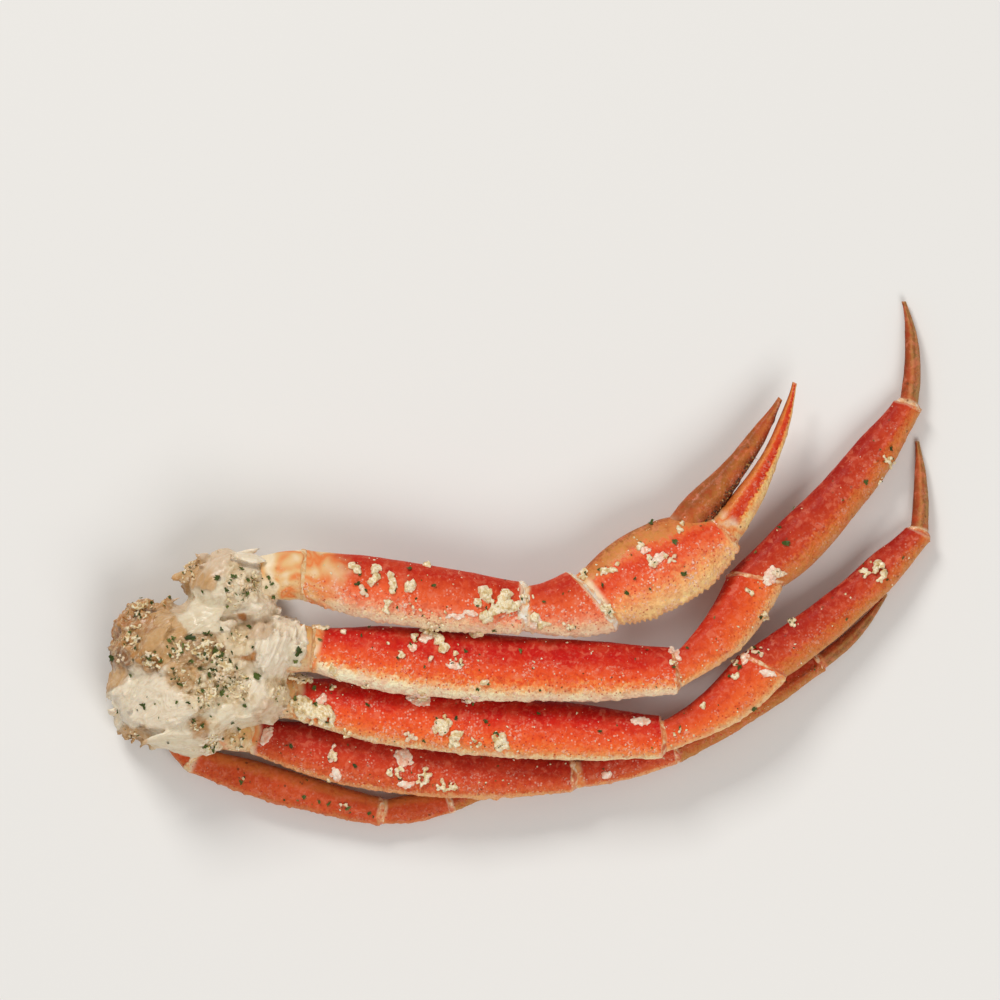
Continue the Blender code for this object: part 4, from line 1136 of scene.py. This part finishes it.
def shapes(name, count, make, *sizes):
    """A hidden collection of unlike shapes of unit reach, for a scatter to pick from."""
    group = bpy.data.collections.new(name)
    for index in range(count):
        mesh = bpy.data.meshes.new(f"{name}_{index}")
        make(mesh, *sizes)
        group.objects.link(bpy.data.objects.new(mesh.name, mesh))
    return group


def chip(mesh, squash):
    """A chopped chip: the hull round a few corners."""
    body = bmesh.new()
    for _ in range(CHIP_CORNERS):
        corner = unit(draw.normal(size=3)) * (1.0, draw.uniform(0.6, 1.0), squash)
        body.verts.new(corner * draw.uniform(0.8, 1.1))
    hull = bmesh.ops.convex_hull(body, input=body.verts)
    inner = [item for item in hull["geom_interior"] if isinstance(item, bmesh.types.BMVert)]
    bmesh.ops.delete(body, geom=inner, context="VERTS")
    body.to_mesh(mesh)
    body.free()


def scatter_tree():
    """Geometry nodes: a shape on each point, stood outward, turned, sized and made uneven."""
    tree = bpy.data.node_groups.new("strew", "GeometryNodeTree")
    inputs = {"Points": "Geometry", "Shapes": "Collection", "Seed": "Int", "Tilt": "Float",
              "Unevenness": "Float", "Finish": "Material"}
    for name, kind in inputs.items():
        tree.interface.new_socket(name, in_out="INPUT", socket_type=f"NodeSocket{kind}")
    tree.interface.new_socket("Grains", in_out="OUTPUT", socket_type="NodeSocketGeometry")

    def add(kind, inputs=None, **settings):
        return add_node(tree, kind, inputs, **settings).outputs

    given = add("NodeGroupInput")
    group = add("GeometryNodeCollectionInfo", {
        "Collection": given["Shapes"], "Separate Children": True, "Reset Children": True})
    facing = add("GeometryNodeInputNamedAttribute", {"Name": "outward"}, data_type="FLOAT_VECTOR")
    size = add("GeometryNodeInputNamedAttribute", {"Name": "size"}, data_type="FLOAT")
    stand = add("FunctionNodeAlignRotationToVector", {"Vector": facing["Attribute"]}, axis="Z")
    # Each grain turns freely on its foot and leans up to the tilt either way.
    tilt = given["Tilt"]
    back = add("ShaderNodeMath", {0: tilt, 1: -1.0}, operation="MULTIPLY")[0]
    least = add("ShaderNodeCombineXYZ", {"X": back, "Y": back})[0]
    most = add("ShaderNodeCombineXYZ", {"X": tilt, "Y": tilt, "Z": math.tau})[0]
    turn = add("FunctionNodeRandomValue", {"Min": least, "Max": most, "Seed": given["Seed"]},
               data_type="FLOAT_VECTOR")
    by = add("FunctionNodeEulerToRotation", {0: turn["Value"]})[0]
    turned = add("FunctionNodeRotateRotation", {"Rotation": stand["Rotation"], "Rotate By": by},
                 rotation_space="LOCAL")[0]
    placed = add("GeometryNodeInstanceOnPoints", {
        "Pick Instance": True, "Points": given["Points"], "Instance": group[0], "Rotation": turned,
        "Scale": size["Attribute"]})[0]
    real = add("GeometryNodeRealizeInstances", {0: placed})[0]
    bumps = add("ShaderNodeTexNoise", {"Scale": 0.9 / MM, "Detail": 1.0})["Color"]
    centred = add("ShaderNodeVectorMath", {0: bumps, 1: (0.5, 0.5, 0.5)}, operation="SUBTRACT")[0]
    shift = add("ShaderNodeVectorMath", {0: centred, "Scale": given["Unevenness"]}, operation="SCALE")[0]
    moved = add("GeometryNodeSetPosition", {"Geometry": real, "Offset": shift})[0]
    smooth = add("GeometryNodeSetShadeSmooth", {0: moved})[0]
    finished = add("GeometryNodeSetMaterial", {"Geometry": smooth, "Material": given["Finish"]})[0]
    add("NodeGroupOutput", {0: finished})
    return tree


strewing = scatter_tree()


def scatter(thing, group, material, seed, tilt, unevenness):
    """Turn loose points into grains with the scatter tree, and keep the result."""
    nodes = thing.modifiers.new("Strew", "NODES")
    nodes.node_group = strewing
    chosen = {"Shapes": group, "Seed": seed, "Tilt": tilt, "Unevenness": unevenness * MM,
              "Finish": material}
    for item in strewing.interface.items_tree:
        if item.name in chosen and item.in_out == "INPUT":
            nodes[item.identifier] = chosen[item.name]
    thing.update_tag()
    evaluate(thing)
    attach(thing, "root")
    return thing


lumps = Litter()
for place, facing, height, spread, size in limb_heaps(1.5):
    grain = size * draw.uniform(0.8, 1.6, len(place))
    lumps.add(place, facing, 0.1 * grain + height * 0.35 * spread, grain)
for place, facing, height, size in meat_heaps(1.0):
    grain = size * draw.uniform(0.5, 1.2, len(place))
    lumps.add(place, facing, 0.05 * grain + height * 0.5, grain)
# Fine crumbs: how many on each kind of segment, and fewer on a short one.
CRUMBS = {"merus": 80, "carpus": 24, "hand": 60, "propodus": 18}
crumbs = Litter()
for name, shell in SHELLS.items():
    count = int(CRUMBS.get(name.split("_")[1], 0) * min(1.0, shell.length / 60.0 + 0.2))
    if count and not name.startswith("leg4"):
        across = draw.uniform(-0.9, 1.05, count)
        grain = 0.12 + 0.42 * draw.random(count) ** 2.6
        place, facing = on_shell(shell, draw.uniform(0.02, 0.98, count), across)
        grain = grain[:len(place)]
        crumbs.add(place, facing, -0.15 * grain, grain)
garlic_paint = Paint("garlic")
# The garlic strays by noise between a lit ivory and a darker yellow-brown that is painted shade.
ivory_with_painted_shade = garlic_paint.step(garlic_paint.noise(1.5, 2.0), 0.32, 0.68)
ivory_with_painted_shade = garlic_paint.ramp(ivory_with_painted_shade, ((0.0, (0.62, 0.43, 0.18)), (0.35, (0.78, 0.64, 0.39)),
                                  (0.8, (0.90, 0.80, 0.59)), (1.0, (0.74, 0.55, 0.28))))
oily = garlic_paint.step(garlic_paint.noise(1.6, 2.0), 0.55, 0.75, 0.0, 0.45)
ivory_with_painted_shade = garlic_paint.mix(oily, ivory_with_painted_shade, (0.66, 0.50, 0.18))
rosy = garlic_paint.step(garlic_paint.noise(9.0, 1.0), 0.58, 0.66, 0.0, 0.35)
ivory_with_painted_shade = garlic_paint.mix(rosy, ivory_with_painted_shade, (0.78, 0.50, 0.38))
garlic_material = garlic_paint.finish(
    ivory_with_painted_shade, garlic_paint.noise(0.6, 3.0), 0.20, Roughness=0.36, Coat_Weight=0.3, Coat_Roughness=0.2,
    Subsurface_Weight=0.3, Subsurface_Scale=0.0008, Subsurface_Radius=(1.0, 0.8, 0.5))
chips = shapes("garlic_shapes", 7, chip, 0.80)
scatter(crumbs.strew("garlic_crumbs"), chips, garlic_material, seed=3, tilt=0.4,
        unevenness=0.06)
garlic = scatter(lumps.strew("garlic"), chips, garlic_material, seed=4, tilt=0.5,
                 unevenness=0.25)
weld(garlic, garlic_material, GRAIN_VOXEL, 1)

# --- Scraps ---------------------------------------------------------------------------
# Shreds of wet pinkish skin that lie between the garlic on the limbs, stuck down by the
# butter. Each is a patch of small flat bits that run into each other.
SCRAPS = (  # place in plan, length, width and heading
    (70.6, -3.6, 5.6, 4.0, 45.0), (69.8, -30.8, 5.0, 2.0, -10.0), (63.6, -25.6, 3.2, 4.4, 0.0),
    (-27.7, -37.9, 6.4, 4.8, 10.0), (-13.5, -37.9, 5.2, 2.4, 0.0), (-32.0, -54.2, 6.6, 5.0, 20.0),
    (-25.8, -20.5, 3.8, 3.6, 0.0), (-29.5, -23.5, 3.0, 1.8, 10.0), (-17.9, -28.6, 4.4, 2.0, -25.0),
    (39.3, 1.4, 4.4, 3.0, 20.0), (35.6, 3.8, 2.4, 2.0, 60.0), (4.9, -16.2, 3.4, 3.8, 0.0),
    (-51.1, -58.9, 4.0, 3.0, 0.0), (-31.2, -61.7, 5.4, 2.2, -8.0), (-52.0, -53.2, 4.6, 1.6, 80.0),
    (34.7, -44.2, 6.4, 2.2, 12.0), (-70.3, -48.0, 5.6, 3.4, 70.0), (-54.9, -38.2, 5.0, 2.0, 65.0),
    (44.6, -25.0, 5.4, 1.5, 102.0), (43.4, -24.0, 2.6, 2.2, 0.0), (-17.5, -14.8, 5.0, 1.6, 0.0),
    (-13.5, -13.8, 4.6, 1.6, -10.0), (24.8, -59.2, 3.0, 2.0, 20.0),
)
shreds = Litter()
for x, y, length, width, heading in SCRAPS:
    run, side, _ = heap(int(8 + 3.0 * length * width), 0.5)
    swing = cmath.rect(1.0, math.radians(heading))
    spot = (run * length + 1j * side * width) * swing
    place, facing = on_top(x + spot.real, y + spot.imag)
    shreds.add(place, facing, 0.10, draw.uniform(0.45, 0.90, len(place)))
scrap_paint = Paint("scraps")
pinkish = scrap_paint.ramp(scrap_paint.noise(1.6, 3.0, 0.4), (
    (0.36, (0.84, 0.42, 0.28)), (0.50, (0.86, 0.60, 0.46)), (0.64, (0.90, 0.76, 0.62))))
scrap_material = scrap_paint.finish(
    pinkish, scrap_paint.noise(0.6, 3.0), 0.15, Roughness=0.30, Coat_Weight=0.3, Coat_Roughness=0.12,
    Subsurface_Weight=0.3, Subsurface_Scale=0.001, Subsurface_Radius=(1.0, 0.7, 0.5))
scraps = shreds.strew("scraps")
scatter(scraps, shapes("scrap_shapes", 5, chip, 0.55), scrap_material, seed=6, tilt=0.3,
        unevenness=0.20)
weld(scraps, scrap_material, GRAIN_VOXEL, 1)

# --- Herbs ----------------------------------------------------------------------------
# Chopped parsley: torn bits of leaf that stick in the butter, flat or on edge, and fine
# specks from the same knife. Each bit is a thin bent blade with a ragged outline.
LEAVES = {  # along the segment, across it and reach
    "claw_merus": (
        (0.47, -0.60, 1.5), (0.25, 0.10, 1.2), (0.59, -0.15, 1.0), (0.25, -0.12, 0.8),
        (0.90, 0.35, 0.8), (0.88, 0.95, 1.1), (0.05, -0.95, 1.0), (0.42, 0.05, 0.8),
        (0.44, 0.60, 0.7)),
    "claw_carpus": ((0.28, -0.10, 0.8), (0.60, 0.75, 0.8)),
    "claw_hand": (
        (0.61, -0.85, 1.3), (0.21, -0.95, 1.7), (0.67, -0.15, 1.3), (0.60, 0.50, 1.5),
        (0.10, -0.10, 1.1), (0.30, 0.10, 0.9), (0.35, 0.45, 0.8), (0.20, 0.30, 1.2)),
    "leg1_merus": (
        (0.02, -0.20, 1.0), (0.15, -0.80, 0.9), (0.42, -0.15, 0.9), (0.46, 0.80, 0.9),
        (0.31, 0.30, 0.7), (0.92, -0.60, 0.8), (0.13, -0.45, 0.8)),
    "leg1_carpus": ((0.15, -0.60, 0.9),),
    "leg1_propodus": (
        (0.20, -0.15, 1.7), (0.23, -0.80, 0.9), (0.10, -0.75, 0.9), (0.33, -0.95, 0.9),
        (0.62, 0.45, 1.2), (0.80, 0.50, 1.1), (0.50, 0.20, 0.6)),
    "leg2_merus": (
        (0.20, 0.05, 1.3), (0.05, -0.30, 1.4), (0.12, 1.00, 1.1), (0.44, 0.10, 1.0),
        (0.55, 0.40, 0.9), (0.52, 0.10, 1.1), (0.36, 0.85, 0.8), (0.06, 0.30, 1.3),
        (0.02, 0.75, 1.2), (0.10, 0.85, 1.3), (0.66, -0.25, 1.1), (0.83, 0.10, 1.2),
        (0.00, 0.20, 1.1)),
    "leg2_carpus": ((0.88, -0.45, 1.2), (0.70, 0.95, 1.6)),
    "leg2_propodus": (
        (0.24, -0.75, 1.3), (0.74, 0.20, 1.2), (0.45, 0.60, 0.7), (0.05, -0.80, 1.2),
        (0.85, 0.30, 0.8)),
    "leg3_merus": ((0.127, 0.20, 1.4), (0.33, 0.40, 1.1), (0.47, 0.60, 0.9), (0.59, 0.75, 1.0)),
    "leg4_merus": (
        (0.27, 0.40, 1.0), (0.60, 0.25, 1.0), (0.68, 0.30, 1.0), (0.73, 0.30, 1.2),
        (0.83, 0.30, 1.3), (0.94, 0.30, 1.2)),
}
MEAT_LEAVES = (  # place in plan and reach
    (-84.0, -4.1, 1.7), (-77.7, -1.7, 1.1), (-88.0, -7.9, 1.0), (-74.4, -5.7, 1.1),
    (-68.3, -9.0, 1.0), (-97.4, -9.8, 0.9), (-106.8, -14.9, 1.6), (-109.5, -13.1, 0.7),
    (-99.2, -12.0, 0.7), (-97.6, -21.6, 1.2), (-92.1, -20.9, 2.0), (-87.6, -20.0, 1.6),
    (-83.1, -18.7, 0.9), (-81.3, -11.7, 0.8), (-75.0, -18.0, 1.2), (-91.2, -27.0, 1.7),
    (-88.9, -29.0, 2.0), (-83.1, -25.6, 1.9), (-84.9, -24.2, 1.4), (-86.7, -31.4, 1.4),
    (-113.4, -26.3, 1.8), (-61.5, -24.3, 1.9), (-73.0, -31.7, 1.8), (-62.5, -27.2, 1.2),
    (-83.1, -36.1, 1.9), (-94.3, -33.9, 1.1), (-89.2, -37.5, 0.8), (-95.4, -38.8, 0.8),
    (-92.1, -38.8, 1.0), (-76.4, -39.7, 1.2), (-104.8, -39.5, 1.4), (-111.6, -41.3, 1.0),
    (-101.5, -39.1, 0.6), (-106.2, -41.1, 0.7), (-100.4, -43.1, 0.5), (-86.0, -42.6, 0.7),
    (-80.0, -44.4, 0.8), (-97.9, -49.8, 0.8), (-82.7, -49.1, 0.9), (-74.1, -23.4, 0.7),
    (-108.2, -31.0, 1.0), (-107.3, -27.0, 0.8), (-102.8, -26.5, 0.8), (-90.6, -21.6, 1.2),
    (-93.6, -22.6, 1.0),
)
SPECK_SHARE = 0.16  # specks of herb for each grain of garlic on the limbs
LEAF_CORNERS = 14
HALF_THICK = 0.03   # of a leaf of unit reach


def leaf(mesh):
    """A small torn leaf: a fan of corners above, the same below, and a rim."""
    turn = math.tau * np.arange(LEAF_CORNERS) / LEAF_CORNERS
    reach = 0.35 + 0.65 * draw.random(LEAF_CORNERS)
    narrow = draw.uniform(0.40, 0.85)
    x = np.append(reach * np.cos(turn), 0.0)
    y = np.append(reach * np.sin(turn) * narrow, 0.0)
    curl = 0.35 * x ** 2 + 0.25 * y * x + 0.08 * draw.uniform(-1.0, 1.0, LEAF_CORNERS + 1)
    faces = []
    below = LEAF_CORNERS + 1
    for corner in range(LEAF_CORNERS):
        after = (corner + 1) % LEAF_CORNERS
        faces.append((corner, after, LEAF_CORNERS))
        faces.append((below + after, below + corner, below + LEAF_CORNERS))
        faces.append((below + corner, below + after, after, corner))
    points = [np.stack((x, y, curl + face), -1) for face in (HALF_THICK, -HALF_THICK)]
    mesh.from_pydata(np.concatenate(points).tolist(), [], faces)


leaves = Litter()
for name, bits in LEAVES.items():
    for along, across, size in bits:
        leaves.add(*on_shell(SHELLS[name], along, across), 0.35, size)
for x, y, size in MEAT_LEAVES:
    leaves.add(*on_top(x, y), 0.5, size)
# Specks lie in and round the heaps of garlic, and thinly over the segments.
for place, facing, height, _ in meat_heaps(0.35, 1.2):
    leaves.add(place, facing, 0.4 + height * 0.6, 0.25 + 0.85 * draw.random(len(place)) ** 1.6)
for place, facing, height, spread, _ in limb_heaps(SPECK_SHARE, 1.2):
    leaves.add(place, facing, 0.3 + height * 0.5 * spread, 0.3 + 0.7 * draw.random(len(place)))
for name, shell in SHELLS.items():
    count = int(CRUMBS.get(name.split("_")[1], 0) * SPECK_SHARE)
    along = draw.uniform(0.02, 0.98, count)
    place, facing = on_shell(shell, along, draw.uniform(-0.9, 1.0, count))
    leaves.add(place, facing, 0.1, 0.2 + 0.4 * draw.random(len(place)))
herb_paint = Paint("herb")
green = herb_paint.ramp(herb_paint.field("chance"), (
    (0.0, (0.030, 0.045, 0.008)), (0.5, (0.058, 0.088, 0.014)), (0.8, (0.075, 0.110, 0.020)),
    (1.0, (0.15, 0.18, 0.040))))
dry = herb_paint.step(herb_paint.noise(0.7, 2.0), 0.5, 0.7, 0.0, 0.5)
herb_material = herb_paint.finish(
    herb_paint.mix(dry, green, (0.09, 0.11, 0.03)), herb_paint.noise(0.4, 2.0), 0.08,
    Roughness=0.5, Coat_Weight=0.08, Coat_Roughness=0.2, Specular_IOR_Level=0.15)
herbs = leaves.strew("herbs")
scatter(herbs, shapes("herb_shapes", 9, leaf), herb_material, seed=5, tilt=0.5,
        unevenness=0.12)
herbs.data.shade_flat()

# --- Floor, light and camera ----------------------------------------------------------
# A pale matt floor, a soft light from above and behind with a weaker one from in front,
# and a camera straight above that sees the cluster without perspective.
FRAME_WIDTH = 280.0
FRAME_CENTRE = (-5.0, 17.8)
# The rest is in metres.
EYE_HEIGHT = 0.8
FLOOR_REACH = 2.0
FLOOR_DROP = 0.0002  # keeps the floor just clear of what stands on it
LAMPS = (  # name, place, width, power and colour
    ("key", (-0.90, 1.75, 1.60), 0.80, 36.0, (1.0, 0.98, 0.95)),
    ("fill", (0.60, -1.10, 1.60), 1.20, 19.0, (1.0, 0.98, 0.96)),
)
floor_paint = bpy.data.materials.new("floor")
floor_paint.use_nodes = True
floor_finish = floor_paint.node_tree.nodes["Principled BSDF"].inputs
floor_finish["Base Color"].default_value = (0.80, 0.79, 0.77, 1.0)
floor_finish["Roughness"].default_value = 0.6
floor_corners = [(FLOOR_REACH * east, FLOOR_REACH * north, -FLOOR_DROP)
                 for east, north in ((-1, -1), (1, -1), (1, 1), (-1, 1))]
floor_mesh = bpy.data.meshes.new("floor")
floor_mesh.from_pydata(floor_corners, [], [(0, 1, 2, 3)])
floor_mesh.materials.append(floor_paint)
floor = bpy.data.objects.new("floor", floor_mesh)
bpy.context.scene.collection.objects.link(floor)
for name, place, width, power, colour in LAMPS:
    lamp = bpy.data.lights.new(name, "AREA")
    lamp.size = width
    lamp.energy = power
    lamp.color = colour
    thing = bpy.data.objects.new(name, lamp)
    thing.location = place
    thing.rotation_euler = (-Vector(place)).to_track_quat("-Z", "Y").to_euler()
    bpy.context.scene.collection.objects.link(thing)
world = bpy.data.worlds.new("studio")
world.use_nodes = True
sky = world.node_tree.nodes["Background"].inputs
sky["Color"].default_value = (1.0, 0.99, 0.97, 1.0)
sky["Strength"].default_value = 0.36
bpy.context.scene.world = world
bpy.context.scene.view_settings.view_transform = "Standard"
eye = bpy.data.cameras.new("camera")
eye.type = "ORTHO"
eye.ortho_scale = FRAME_WIDTH * MM
camera = bpy.data.objects.new("camera", eye)
camera.location = (FRAME_CENTRE[0] * MM, FRAME_CENTRE[1] * MM, EYE_HEIGHT)
bpy.context.scene.collection.objects.link(camera)
bpy.context.scene.camera = camera
